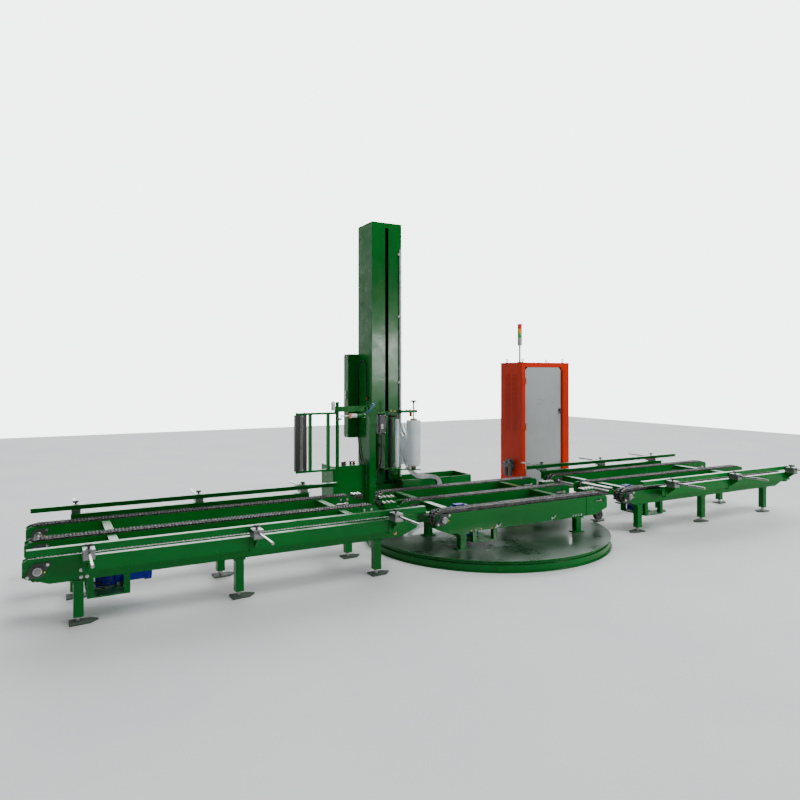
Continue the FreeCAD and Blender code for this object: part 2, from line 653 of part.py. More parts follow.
add("table_bearings", cyl(TABLE_STUB_X - 70, cover_y - 3, CHAIN_AXIS_Z - 2, 4, 50, X_AXIS))
add("table_bearings",
    fuse([
        cyl(WHEEL[0], WHEEL[1] - 20, WHEEL[2], 48, 40, Y_AXIS),
        cyl(WHEEL[0], WHEEL[1] - 28, WHEEL[2], 8, STRAND_HALF + 34, Y_AXIS),
        box(WHEEL[0] - 14, WHEEL[0] + 14, WHEEL[1] + STRAND_HALF, WHEEL[1] + STRAND_HALF + 6,
            WHEEL[2] - 16, 330)]))
drive_shaft("table_drive_shaft", TABLE_SHAFT_X)
shaft_pulley("table_drive_shaft", TABLE_SHAFT_X)
idler_set("table_idlers", TABLE_STUB_X)
bearings("table_bearings", TABLE_SHAFT_X)
gearmotor("table_gearmotor", "table_chains", -440, 212, TABLE_SHAFT_X, True)
for x in TABLE_LEGS:
    for y in LEG_ROWS:
        half = LEG / 2
        add("table_legs",
            box(x - half, x + half, y - half, y + half, DISC_TOP + 10, TABLE_LOW - 10),
            box(x - 55, x + 55, y - half - 8, y + half, TABLE_LOW - 10, TABLE_LOW))
        foot = fuse([
            box(x - 60, x + 60, y - 40, y + 40, DISC_TOP, DISC_TOP + 10),
            hex_bolt(x - 46, y, DISC_TOP + 10, 20, 9, Z_AXIS),
            hex_bolt(x + 46, y, DISC_TOP + 10, 20, 9, Z_AXIS),
        ])
        add("table_legs", foot)
table_sets = (
    (-1150.0, -380.0, 5),
    (-1060.0, 240.0, 4),
    (880.0, 200.0, 4),
    (930.0, -330.0, 4),
)
for x0, y, count in table_sets:
    low = roller_set("table_transfer_brackets", "table_transfer_rollers", x0, y, count, 70, 42)
    inner = TABLE_CROSS[1] + 30 if x0 > 0 else TABLE_CROSS[0] - 30
    a, b = sorted((inner, x0 + 20 if x0 > 0 else x0 + 42 * count))
    add("table_transfer_brackets", box(a, b, y - 20, y + 20, low - 6, low))
low = roller_set("table_transfer_brackets", "table_transfer_rollers", -1145, 0, 3, 70, 42)
add("table_transfer_brackets", box(-1110, -985, -50, 50, low - 8, low))

# ====================================================================== mast
mast_x0, mast_x1 = MAST_X
mast_y0, mast_y1 = MAST_Y
inner_x0 = mast_x0 + MAST_SHEET
inner_x1 = mast_x1 - MAST_SHEET
front_y = mast_y0 + MAST_SHEET
rear_y = mast_y1 - MAST_SHEET
slot_low, slot_high = SLOT_Z
add("mast_column",
    box(mast_x0, inner_x0, mast_y0, mast_y1, MAST_FOOT, MAST_TOP),
    box(inner_x1, mast_x1, mast_y0, mast_y1, MAST_FOOT, MAST_TOP),
    box(inner_x0, inner_x1, rear_y, mast_y1, MAST_FOOT, MAST_TOP),
    box(inner_x0, SLOT_X[0], mast_y0, front_y, slot_low, slot_high),
    box(SLOT_X[1], inner_x1, mast_y0, front_y, slot_low, slot_high),
    box(inner_x0, inner_x1, mast_y0, front_y, MAST_FOOT, slot_low),
    box(inner_x0, inner_x1, mast_y0, front_y, slot_high, MAST_TOP),
    box(inner_x0, inner_x1, front_y, rear_y, MAST_TOP - MAST_SHEET, MAST_TOP))

lift_x = (SLOT_X[0] + SLOT_X[1]) / 2
lift_y = mast_y0 + 190
lift_z = (420.0, 3250.0)
belt_offset = 66.0
for z in lift_z:
    add("mast_lift_drive", cyl(inner_x0, lift_y, z, 12, inner_x1 - inner_x0, X_AXIS))
    add("mast_lift_drive", tube(lift_x - 10, lift_y, z, 60, 12, 20, X_AXIS))
for side in (-1, 1):
    belt_y = lift_y + side * belt_offset
    add("mast_lift_drive", box(lift_x - 8, lift_x + 8, belt_y - 5, belt_y + 5, *lift_z))
add("mast_lift_drive", rounded_box(mast_x0 + 20, lift_x - 30, lift_y + 60, lift_y + 170, 480, 640, 10))

add("mast_base", box(-1000, 880, 1500, 2180, 0, MAST_FOOT))
# raised drive box on the left: walls and lid
box_x0, box_x1, box_y0, box_y1, box_top = DRIVE_BOX
add("mast_base", *sheet_walls(box_x0, box_x1, box_y0, box_y1, MAST_FOOT, box_top, BASE_SHEET))
add("mast_base",
    box(box_x0 + BASE_SHEET, box_x1 - BASE_SHEET, box_y0 + BASE_SHEET, box_y1 - BASE_SHEET,
        box_top - BASE_SHEET, box_top))
# plinth between the drive box and the mast foot
add("mast_base",
    box(box_x1, -112, 1640, 1640 + BASE_SHEET, MAST_FOOT, PLINTH_TOP),
    box(box_x1, -396, 1646, 1924, PLINTH_TOP - BASE_SHEET, PLINTH_TOP),
    box(box_x1, -396, 1924, 1924 + BASE_SHEET, MAST_FOOT, PLINTH_TOP))
# film tray on the right, open above, notched round the mast
tray_x0, tray_x1, tray_y0, tray_y1, tray_top = TRAY
notch_x = 20.0
notch_y = 1740.0
tray_floor = MAST_FOOT + BASE_SHEET
add("mast_base",
    box(tray_x0, tray_x1, tray_y0, tray_y0 + BASE_SHEET, MAST_FOOT, tray_top),
    box(notch_x, tray_x1, tray_y1 - BASE_SHEET, tray_y1, MAST_FOOT, tray_top),
    box(tray_x0, tray_x0 + BASE_SHEET, tray_y0 + BASE_SHEET, notch_y, MAST_FOOT, tray_top),
    box(tray_x1 - BASE_SHEET, tray_x1, tray_y0 + BASE_SHEET, tray_y1 - BASE_SHEET,
        MAST_FOOT, tray_top),
    box(tray_x0 + BASE_SHEET, tray_x1 - BASE_SHEET, tray_y0 + BASE_SHEET, notch_y,
        MAST_FOOT, tray_floor),
    box(notch_x, tray_x1 - BASE_SHEET, notch_y, tray_y1 - BASE_SHEET, MAST_FOOT, tray_floor))

switch_x0, switch_x1, switch_z0, switch_z1 = SWITCH_BOX
add("mast_switch_box",
    rounded_box(switch_x0, switch_x1, mast_y1, mast_y1 + SWITCH_DEPTH, switch_z0, switch_z1, 6),
    box(switch_x0 - 6, switch_x0, mast_y1 + 10, mast_y1 + SWITCH_DEPTH - 10,
        switch_z0 + 27, switch_z1 - 25),
    cyl(switch_x0 - 6, mast_y1 + 70, 1344, 12, 14, X_AXIS * -1))
add("mast_conduit", cyl(-12, 1734, 362, 14, 2770))
for z in (700, 1500, 2300, 3060):
    add("mast_conduit", box(-40, -27, 1728, 1750, z, z + 24))
cable_up = [
    (-404, 1905, 300), (-406, 1912, 384), (-405, 1950, 458), (-405, 2004, 520),
    (-404, 2050, 592), (-403, 2084, 690), (-405, 2108, 840), (-403, 2118, 1020),
    (-405, 2121, 1200), (-403, 2118, 1370), (-404, 2122, 1530), (-403, 2118, 1660),
    (-404, 2078, 1752), (-406, 1994, 1786),
    (-407, 1912, 1744), (-406, 1874, 1656), (-407, 1866, 1540), (-406, 1869, 1430),
    (-407, 1867, 1330),
]
add("mast_cable", bent_tube(cable_up, 8, "mast_cable"))
add("mast_cable", box(-420, -391, 1857, 1877, 1290, 1330))

# ================================================================== carriage
tongue = (SLOT_X[0] + 8, SLOT_X[1] - 8)
add("carriage_frame", box(-330, -50, 1722, 1734, CARRIAGE_LOW, CARRIAGE_HIGH))
add("carriage_frame",
    box(tongue[0], tongue[1], 1734, 1790, 560, 640),
    box(tongue[0], tongue[1], 1734, 1790, 1020, 1100))
for z in (560, 1020):
    add("carriage_frame", box(-330, -50, 1790, 1806, z, z + 80))
low_outline = (
    (-345, 1722), (-345, 1430), (-270, 1360), (-140, 1300), (-110, 1240),
    (-10, 1240), (20, 1300), (20, 1400), (-60, 1480), (-60, 1722),
)
high_outline = ((-480, 1722), (-480, 1390), (-360, 1380), (-195, 1380), (-195, 1722))
PLATE = 12.0
low_plate = prism([(x, y, CARRIAGE_LOW) for x, y in low_outline], Z_AXIS * PLATE)
low_plate = low_plate.cut(cyl(*ROLL, CARRIAGE_LOW - 1, 9 + RUN_FIT, 20))
high_plate = prism([(x, y, CARRIAGE_HIGH - PLATE) for x, y in high_outline], Z_AXIS * PLATE)
for x, y in (ROLLER_1, ROLLER_2):
    low_plate = low_plate.cut(cyl(x, y, CARRIAGE_LOW - 1, 8 + RUN_FIT, 20))
    high_plate = high_plate.cut(cyl(x, y, CARRIAGE_HIGH - PLATE - 1, 8 + RUN_FIT, 20))
add("carriage_frame", low_plate, high_plate)
add("carriage_frame", box(-345, -339, 1500, 1722, CARRIAGE_LOW + 12, CARRIAGE_HIGH - 12))
head_high = CARRIAGE_HIGH + 30
head = box(-195, -20, 1310, 1350, CARRIAGE_HIGH, head_high)
head = head.cut(cyl(*ROLL, CARRIAGE_HIGH - 5, 9 + RUN_FIT, 90))
add("carriage_frame", head)
add("carriage_frame", box(-225, -195, 1310, 1420, CARRIAGE_HIGH, head_high))

add("carriage_motor", rounded_box(-475, -385, 1396, 1471, 925, CARRIAGE_HIGH - 12, 14))
add("carriage_motor", box(-385, -372, 1410, 1460, 1000, 1110))
add("carriage_motor", cyl(-430, 1434, 905, 11, 22))


def gear_roller(node, centre, tooth_turn):
    """Roller with journals, and a spur gear under its upper end."""
    x, y = centre
    body = fuse([
        cyl(x, y, ROLLER_Z[0], ROLLER_R, ROLLER_Z[1] - ROLLER_Z[0]),
        cyl(x, y, CARRIAGE_LOW + 1, 8, CARRIAGE_HIGH - CARRIAGE_LOW - 2),
    ])
    add(node, body)
    span = math.hypot(ROLLER_1[0] - ROLLER_2[0], ROLLER_1[1] - ROLLER_2[1])
    pitch_r = span / 2 - 0.5
    wheel = toothed_wheel(x, y, 1110, 18, pitch_r - 5, pitch_r + 3.2, 0.5, 18, Z_AXIS, tooth_turn)
    add(node, wheel.cut(cyl(x, y, 1100, 8, 40)))


line = math.atan2(ROLLER_2[1] - ROLLER_1[1], ROLLER_2[0] - ROLLER_1[0])
gear_roller("prestretch_roller_1", ROLLER_1, line)
gear_roller("prestretch_roller_2", ROLLER_2, line + math.pi + math.pi / 18)

core = tube(*ROLL, ROLL_Z[0] - 4, 42, 38, ROLL_Z[1] - ROLL_Z[0] + 14)
film = tube(*ROLL, ROLL_Z[0], ROLL_R, 42, ROLL_Z[1] - ROLL_Z[0])
chuck = fuse([
    cyl(*ROLL, CARRIAGE_LOW + 13, 30, 28),
    cyl(*ROLL, CARRIAGE_LOW + 41, 60, 10),
    cyl(*ROLL, CARRIAGE_LOW + 51, 37.9, 50),
    cyl(*ROLL, CARRIAGE_LOW + 1, 9, 14),
])
add("film_roll", core, film, chuck)
spindle = fuse([
    cyl(*ROLL, 1095, 9, 190),
    cyl(*ROLL, 1089, 34, 6),
    cyl(*ROLL, 1278, 14, 14),
    cyl(ROLL[0] - 34, ROLL[1], 1298, 8, 68, X_AXIS),
    cyl(*ROLL, 1285, 9, 14),
])
add("spindle_handle", spindle)

tail = prism([
    (402, 1486, 240), (402, 1486, 330), (300, 1486, 380), (90, 1486, 400),
    (0, 1486, 450), (-145, 1486, 880), (-158, 1486, 880), (-18, 1486, 440),
    (80, 1486, 388), (290, 1486, 366), (388, 1486, 320), (388, 1486, 240),
], Y_AXIS * 10)
add("film_tail", tail)
web = prism([(-200, 1425, 560), (-98, 1407, 560), (-97, 1412, 560), (-199, 1430, 560)],
            Z_AXIS * 480)
add("film_web", web)

carriage_cable_route = (
    (-430, 1434, 904), (-430, 1434, 790), (-426, 1438, 680), (-430, 1452, 570),
    (-443, 1490, 472), (-466, 1548, 408), (-492, 1618, 396), (-508, 1674, 446),
    (-504, 1702, 536), (-480, 1710, 630), (-440, 1708, 708), (-395, 1708, 762),
)
add("carriage_cable", bent_tube(carriage_cable_route, 8, "carriage_cable"))
add("carriage_frame", box(-395, -345, 1695, 1720, 740, 780))

# ===================================================================== wiper
post_x, post_y = WIPER_POST
post_front = post_y - POST_HALF


def post_block(z0, z1):
    return box(post_x - POST_HALF, post_x + POST_HALF, post_front, post_y + POST_HALF, z0, z1)


add("wiper_post", post_block(14, 1170), post_block(1170, 1235))
add("wiper_post", box(post_x - 90, post_x + 90, post_y - 75, post_y + 48, 0, 14))
add("wiper_post", box(post_x - POST_HALF - 6, post_x + POST_HALF + 6, post_front - 10, post_front,
                      1040, 1262))
for bolt_x in (post_x - 30, post_x + 30):
    for bolt_z in (1150, 1225):
        add("wiper_post", hex_bolt(bolt_x, post_front - 10, bolt_z, 17, 8, Y_AXIS * -1))
pivot_x, pivot_y = WIPER_PIVOT
sleeve = tube(pivot_x, pivot_y, ARM_Z[0], 32, 20 + RUN_FIT, ARM_Z[1] - ARM_Z[0])
arm = box(pivot_x + 10, post_x - POST_HALF, pivot_y - 20, pivot_y + 20, *ARM_Z)
arm = arm.cut(cyl(pivot_x, pivot_y, 1000, 31, 400))
add("wiper_post", fuse([sleeve, arm]))

frame_bars = [cyl(pivot_x, pivot_y, 510, 20, 779)]
for z in WIPER_Z:
    frame_bars.append(box(-1452, pivot_x, pivot_y - 12, pivot_y + 12, z - 12, z + 12))
for x in (-1289, -1079):
    frame_bars.append(box(x - 16, x + 16, pivot_y - 16, pivot_y + 16, *WIPER_Z))
frame_bars.append(box(pivot_x - 14, pivot_x + 14, pivot_y - 95, pivot_y, 1105, 1125))
add("wiper_arm", fuse(frame_bars))
add("wiper_arm", cyl(pivot_x, pivot_y, 1289, 22, 12))
brush_z = (WIPER_Z[0] + 12, WIPER_Z[1] - 12)
add("wiper_brush",
    box(-1466, -1424, pivot_y - 22, pivot_y + 22, *brush_z),
    cyl(-1397, pivot_y, brush_z[0], 22, brush_z[1] - brush_z[0]),
    box(-1372, -1334, pivot_y - 22, pivot_y + 22, *brush_z))

# air cylinder that swings the frame, and the bracket that holds it
end_y = (BARREL_Y - 26, BARREL_Y + 26)
end_z = (BARREL_Z - 26, BARREL_Z + 26)
barrel = fuse([
    cyl(-840, BARREL_Y, BARREL_Z, 22, 150, X_AXIS),
    box(-852, -840, *end_y, *end_z),
])
add("wiper_cylinder", barrel.cut(cyl(-853, BARREL_Y, BARREL_Z, 6 + RUN_FIT, 163, X_AXIS)))
add("wiper_cylinder",
    box(-690, -678, *end_y, *end_z),
    box(-678, -610, BARREL_Y - 10, BARREL_Y + 10, BARREL_Z - 10, BARREL_Z + 10),
    box(-630, -610, BARREL_Y + 10, pivot_y - 20, BARREL_Z - 10, BARREL_Z + 40),
    box(-630, -610, pivot_y - 46, pivot_y - 20, BARREL_Z + 40, 1240))
add("wiper_rod",
    cyl(-944, BARREL_Y, BARREL_Z, 6, 144, X_AXIS),
    box(-962, -944, BARREL_Y - 9, BARREL_Y + 9, BARREL_Z - 10, BARREL_Z + 10))
hose_route = (
    (-684, 1342, 1166), (-684, 1302, 1172), (-660, 1276, 1200), (-618, 1280, 1240),
    (-580, 1308, 1272), (-556, 1358, 1284), (-549, 1430, 1264), (-549, 1450, 1236),
)
add("wiper_hose", bent_tube(hose_route, 6, "wiper_hose"))

# =================================================================== cabinet
cab_x0, cab_x1 = CABINET_X
cab_y0, cab_y1 = CABINET_Y
in_x0 = cab_x0 + CABINET_SHEET
in_x1 = cab_x1 - CABINET_SHEET
in_y1 = cab_y1 - CABINET_SHEET
roof_z = CABINET_TOP - CABINET_SHEET
floor_z = CABINET_PLINTH + CABINET_SHEET
front_depth = cab_y0 + 24
add("cabinet_shell",
    box(cab_x0, in_x0, cab_y0, cab_y1, CABINET_PLINTH, CABINET_TOP),
    box(in_x1, cab_x1, cab_y0, cab_y1, CABINET_PLINTH, CABINET_TOP),
    box(in_x0, in_x1, in_y1, cab_y1, CABINET_PLINTH, CABINET_TOP),
    box(in_x0, in_x1, cab_y0, in_y1, roof_z, CABINET_TOP),
    box(in_x0, in_x1, cab_y0, in_y1, CABINET_PLINTH, floor_z))
# front frame round the door, with a 2 mm gap
gap_x = (DOOR_X[0] - 2, DOOR_X[1] + 2)
gap_z = (DOOR_Z[0] - 2, DOOR_Z[1] + 2)
add("cabinet_shell",
    box(in_x0, gap_x[0], cab_y0, front_depth, floor_z, roof_z),
    box(gap_x[1], in_x1, cab_y0, front_depth, floor_z, roof_z),
    box(*gap_x, cab_y0, front_depth, floor_z, gap_z[0]),
    box(*gap_x, cab_y0, front_depth, gap_z[1], roof_z))
# plinth, mounting plate and the devices on it
add("cabinet_shell",
    box(cab_x0 + 10, cab_x1 - 10, cab_y0 + 15, cab_y1 - 10, 0, CABINET_PLINTH),
    box(cab_x0 + 60, cab_x1 - 60, cab_y1 - 40, cab_y1 - 37, 180, CABINET_TOP - 80))
for row, z in enumerate((420, 760, 1100, 1400)):
    count = 5 - row % 2
    for i in range(count):
        x = cab_x0 + 100 + i * 115
        add("cabinet_shell", box(x, x + 80, cab_y1 - 130, cab_y1 - 40, z, z + 170))
hinge_x = DOOR_X[0] + 8
hinge_y = cab_y0 - 8.0
leaf_y = cab_y0 + 4
latch_x = DOOR_X[1] - 30
leaf = prism([
    (DOOR_X[0], leaf_y, DOOR_Z[0]),
    (DOOR_X[1], leaf_y, DOOR_Z[0]),
    (DOOR_X[1], leaf_y, DOOR_Z[1] - DOOR_CORNER),
    (DOOR_X[1] - DOOR_CORNER, leaf_y, DOOR_Z[1]),
    (DOOR_X[0] + DOOR_CORNER, leaf_y, DOOR_Z[1]),
    (DOOR_X[0], leaf_y, DOOR_Z[1] - DOOR_CORNER),
], Y_AXIS * 16)
add("cabinet_door", leaf.cut(cyl(latch_x, cab_y0, LATCH_Z, 8 + RUN_FIT, 60, Y_AXIS)))
for z in (300, 900, 1500):
    add("cabinet_door", box(DOOR_X[0] + 2, DOOR_X[0] + 14, cab_y0 - 2, leaf_y, z, z + 60))
    add("cabinet_door", tube(hinge_x, hinge_y, z, 6, 3, 60))
    add("cabinet_shell",
        cyl(hinge_x, hinge_y, z - 8, 3 - RUN_FIT, 76),
        box(hinge_x - 66, hinge_x + 4, hinge_y - 4, hinge_y + 4, z - 16, z - 8),
        box(hinge_x - 66, hinge_x - 60, hinge_y + 4, cab_y0, z - 16, z - 8))
add("cabinet_latch", fuse([
    cyl(latch_x, cab_y0 - 12, LATCH_Z, 16, 15.7, Y_AXIS),
    cyl(latch_x, cab_y0 - 12, LATCH_Z, 8, 42, Y_AXIS),
    box(latch_x - 8, latch_x + 8, cab_y0 + 26, cab_y0 + 30, LATCH_Z - 52, LATCH_Z + 8),
    box(latch_x - 8, latch_x + 8, cab_y0 - 26, cab_y0 - 12, LATCH_Z - 50, LATCH_Z + 20),
]))
for x in (cab_x0 + 60, cab_x1 - 60):
    for y in (cab_y0 + 60, cab_y1 - 60):
        eye = Part.makeTorus(16, 5, V(x, y, CABINET_TOP + 34), Y_AXIS)
        stem = fuse([cyl(x, y, CABINET_TOP + 6, 6, 14), cyl(x, y, CABINET_TOP, 17, 7)])
        add("cabinet_eyebolts", eye.fuse(stem))

LENS_LOW = CABINET_TOP + 327
LENS_STEP = 60.0
add("signal_base", fuse([
    cyl(*TOWER, CABINET_TOP, 32, 10),
    cyl(*TOWER, CABINET_TOP + 10, 11, 216),
    cyl(*TOWER, CABINET_TOP + 226, 30, 101),
]))
for i in range(3):
    add("signal_lenses", cyl(*TOWER, LENS_LOW + i * LENS_STEP, 30, LENS_STEP))
add("signal_base", cyl(*TOWER, LENS_LOW + 3 * LENS_STEP, 30, 6))

# air preparation: back plate, two bodies with bowls, regulator knob, gauge and nipple
body_z = (AIR_UNIT_Z - 10, AIR_UNIT_Z + 60)
bowl_x = cab_x0 - 44
add("air_unit",
    box(cab_x0 - 12, cab_x0, AIR_UNIT_Y - 90, AIR_UNIT_Y + 90, AIR_UNIT_Z - 30, AIR_UNIT_Z + 90),
    rounded_box(cab_x0 - 75, cab_x0 - 12, AIR_UNIT_Y - 85, AIR_UNIT_Y - 15, *body_z, 6),
    rounded_box(cab_x0 - 75, cab_x0 - 12, AIR_UNIT_Y + 5, AIR_UNIT_Y + 75, *body_z, 6),
    cyl(bowl_x, AIR_UNIT_Y - 50, AIR_UNIT_Z - 120, 26, 110),
    cyl(bowl_x, AIR_UNIT_Y + 40, AIR_UNIT_Z - 120, 26, 110),
    cyl(bowl_x, AIR_UNIT_Y - 50, AIR_UNIT_Z + 60, 20, 46),
    cyl(cab_x0 - 75, AIR_UNIT_Y - 50, AIR_UNIT_Z + 26, 24, 24, X_AXIS * -1),
    cyl(bowl_x, AIR_UNIT_Y - 119, AIR_UNIT_Z + 26, 10, 34, Y_AXIS))

# ==================================================================== export
os.makedirs("parts", exist_ok=True)
for name, solids in sorted(NODES.items()):
    shape = solids[0] if len(solids) == 1 else Part.makeCompound(solids)
    shape.exportStep(f"parts/{name}.step")
print(len(NODES), "sub-parts")
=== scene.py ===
"""Looks for the turntable pallet wrapper: finishes, chain links, film, cords and small fittings."""
import math
import random

import bpy
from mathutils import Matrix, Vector


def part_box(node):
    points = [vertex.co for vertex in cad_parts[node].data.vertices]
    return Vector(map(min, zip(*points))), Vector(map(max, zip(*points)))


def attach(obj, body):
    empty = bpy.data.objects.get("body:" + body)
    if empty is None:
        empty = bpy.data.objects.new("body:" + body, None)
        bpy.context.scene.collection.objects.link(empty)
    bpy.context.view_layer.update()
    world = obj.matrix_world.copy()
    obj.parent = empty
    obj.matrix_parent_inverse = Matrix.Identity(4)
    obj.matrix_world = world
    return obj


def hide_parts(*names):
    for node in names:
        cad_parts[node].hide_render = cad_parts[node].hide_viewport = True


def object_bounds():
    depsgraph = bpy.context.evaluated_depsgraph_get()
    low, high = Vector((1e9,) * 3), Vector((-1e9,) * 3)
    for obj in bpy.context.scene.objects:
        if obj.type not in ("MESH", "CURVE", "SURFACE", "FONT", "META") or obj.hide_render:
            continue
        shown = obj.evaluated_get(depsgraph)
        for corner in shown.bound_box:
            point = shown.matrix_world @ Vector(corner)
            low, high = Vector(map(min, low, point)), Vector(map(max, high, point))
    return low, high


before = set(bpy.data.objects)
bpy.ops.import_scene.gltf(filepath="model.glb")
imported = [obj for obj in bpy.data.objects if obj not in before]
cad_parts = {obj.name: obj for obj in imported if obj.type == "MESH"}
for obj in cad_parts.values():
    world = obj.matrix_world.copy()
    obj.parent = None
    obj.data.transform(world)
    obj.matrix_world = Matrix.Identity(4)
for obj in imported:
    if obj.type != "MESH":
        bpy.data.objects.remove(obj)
cad_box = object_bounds()

X_AXIS = Vector((1, 0, 0))
Y_AXIS = Vector((0, 1, 0))
Z_AXIS = Vector((0, 0, 1))

FRONT = (0, -1, 0)                  # the way a fitting on a front face points
REAR = (0, 1, 0)
LEFT = (-1, 0, 0)

STRANDS = (-0.52, 0.0, 0.52)        # chain strands across the conveyors
NEAR_STRAND = STRANDS[0]
STRAND_HALF = 0.062                 # a strand's middle to the outside of its channels
CHAIN_AXIS_Z = 0.376                # height of the shafts that the chains run round
CHAIN_PITCH_R = 0.064               # shaft to the middle line of the chain
CHAIN_PITCH = 0.0254
DRIVE_CHAIN_Y = -0.422              # short chain from a gearmotor to its shaft
DRIVE_CHAIN_R = 0.038
DRIVE_CHAIN_PITCH = 0.0127

CAMERA_PLACE = (-3.84, -5.255, 1.602)
CAMERA_TURN = -28.675               # degrees about the upright axis
CAMERA_LENS = 29.37
CAMERA_SHIFT = -0.0314
BACK_WALL_WAY = (0.48, 0.877, 0.0)  # from the camera towards the wall behind the machine


def middle_x(node):
    lo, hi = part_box(node)
    return (lo.x + hi.x) / 2


# ------------------------------------------------------------------ camera, lights and floor
def add_camera():
    data = bpy.data.cameras.new("camera")
    data.sensor_width = 36.0
    data.lens = CAMERA_LENS
    data.shift_y = CAMERA_SHIFT
    data.clip_end = 100.0
    camera = bpy.data.objects.new("camera", data)
    camera.location = CAMERA_PLACE
    camera.rotation_euler = (math.radians(90), 0, math.radians(CAMERA_TURN))
    bpy.context.scene.collection.objects.link(camera)
    bpy.context.scene.camera = camera


def add_lamp(name, place, target, size, power):
    data = bpy.data.lights.new(name, "AREA")
    data.shape = "RECTANGLE"
    data.size, data.size_y = size
    data.energy = power
    lamp = bpy.data.objects.new(name, data)
    lamp.location = place
    lamp.rotation_euler = (Vector(target) - Vector(place)).to_track_quat("-Z", "Y").to_euler()
    bpy.context.scene.collection.objects.link(lamp)


def add_sun(name, direction, power, spread):
    data = bpy.data.lights.new(name, "SUN")
    data.energy = power
    data.angle = math.radians(spread)
    lamp = bpy.data.objects.new(name, data)
    lamp.rotation_euler = Vector(direction).to_track_quat("-Z", "Y").to_euler()
    bpy.context.scene.collection.objects.link(lamp)


def add_studio():
    """Bright wall behind the machine, a dimmer room round it, one soft sun and two lamps."""
    world = bpy.data.worlds.new("studio")
    world.use_nodes = True
    tree = world.node_tree
    back = tree.nodes["Background"]
    place = tree.nodes.new("ShaderNodeTexCoord")
    facing = tree.nodes.new("ShaderNodeVectorMath")
    facing.operation = "DOT_PRODUCT"
    facing.inputs[1].default_value = BACK_WALL_WAY
    reach = tree.nodes.new("ShaderNodeMapRange")
    reach.inputs["From Min"].default_value = 0.61
    reach.inputs["From Max"].default_value = 0.73
    reach.inputs["To Min"].default_value = 0.22
    reach.inputs["To Max"].default_value = 5.0
    tree.links.new(place.outputs["Generated"], facing.inputs[0])
    tree.links.new(facing.outputs["Value"], reach.inputs["Value"])
    tree.links.new(reach.outputs["Result"], back.inputs["Strength"])
    back.inputs["Color"].default_value = (0.95, 0.98, 1.0, 1)
    bpy.context.scene.world = world
    add_sun("sun", (-0.30, 0.42, -0.85), 1.5, 25)
    add_lamp("window", (4.65, -7.6, 2.1), (-0.2, 1.75, 1.9), (0.8, 1.3), 260)
    add_lamp("top", (0.0, 0.5, 7.5), (0, 0.3, 0), (8.0, 4.0), 160)


# ------------------------------------------------------------------ surface recipes
class Look:
    """One material's node tree, with short calls for the nodes that it uses."""

    def __init__(self, name):
        self.material = bpy.data.materials.new(name)
        self.material.use_nodes = True
        self.tree = self.material.node_tree
        self.tree.nodes.clear()
        self.place = self.node("TexCoord").outputs["Object"]

    def node(self, kind, inputs=None, **settings):
        item = self.tree.nodes.new("ShaderNode" + kind)
        for key, value in settings.items():
            setattr(item, key, value)
        for key, value in (inputs or {}).items():
            if isinstance(value, bpy.types.NodeSocket):
                self.tree.links.new(value, item.inputs[key])
            else:
                item.inputs[key].default_value = value
        return item

    def noise(self, scale, detail=3.0, stretch=None, roughness=0.5):
        """Noise in metres; stretch squeezes it along X, Y and Z."""
        place = self.place
        if stretch:
            place = self.node("Mapping", {"Vector": place, "Scale": stretch}).outputs["Vector"]
        return self.node("TexNoise", {"Vector": place, "Scale": scale, "Detail": detail,
                                      "Roughness": roughness}).outputs["Fac"]

    def steps(self, value, low, high, to_low=0.0, to_high=1.0):
        """Value from low to high, mapped to the range to_low to to_high."""
        return self.node("MapRange", {"Value": value, "From Min": low, "From Max": high,
                                      "To Min": to_low, "To Max": to_high}).outputs["Result"]

    def math(self, operation, a, b=0.0):
        return self.node("Math", {0: a, 1: b}, operation=operation, use_clamp=False).outputs[0]

    def coordinate(self, axis):
        return self.node("SeparateXYZ", {"Vector": self.place}).outputs[axis]

    def level(self):
        """One where the surface faces up."""
        normal = self.node("NewGeometry").outputs["Normal"]
        return self.steps(self.node("SeparateXYZ", {"Vector": normal}).outputs["Z"], 0.7, 0.95)

    def blend(self, factor, a, b):
        return self.node("Mix", {0: factor, 6: a, 7: b}, data_type="RGBA").outputs[2]

    def bump(self, height, strength, distance, normal=None):
        inputs = {"Height": height, "Strength": strength, "Distance": distance}
        if normal:
            inputs["Normal"] = normal
        return self.node("Bump", inputs).outputs["Normal"]

    def shader(self, inputs):
        return self.node("BsdfPrincipled", inputs).outputs[0]

    def mixed(self, factor, a, b):
        return self.node("MixShader", {0: factor, 1: a, 2: b}).outputs[0]

    def done(self, shader):
        out = self.node("OutputMaterial")
        self.tree.links.new(shader, out.inputs["Surface"])
        return self.material


def finished(name, recipe, *values, **settings):
    """One material from one recipe."""
    look = Look(name)
    return look.done(recipe(look, *values, **settings))


def tone(colour, factor=1.0):
    return (colour[0] * factor, colour[1] * factor, colour[2] * factor, 1.0)


GREEN = (0.0, 0.125, 0.014)
ORANGE = (0.60, 0.022, 0.0)
PANEL = (0.40, 0.43, 0.43)
BLUE = (0.004, 0.012, 0.30)
DUST = (0.10, 0.125, 0.10)


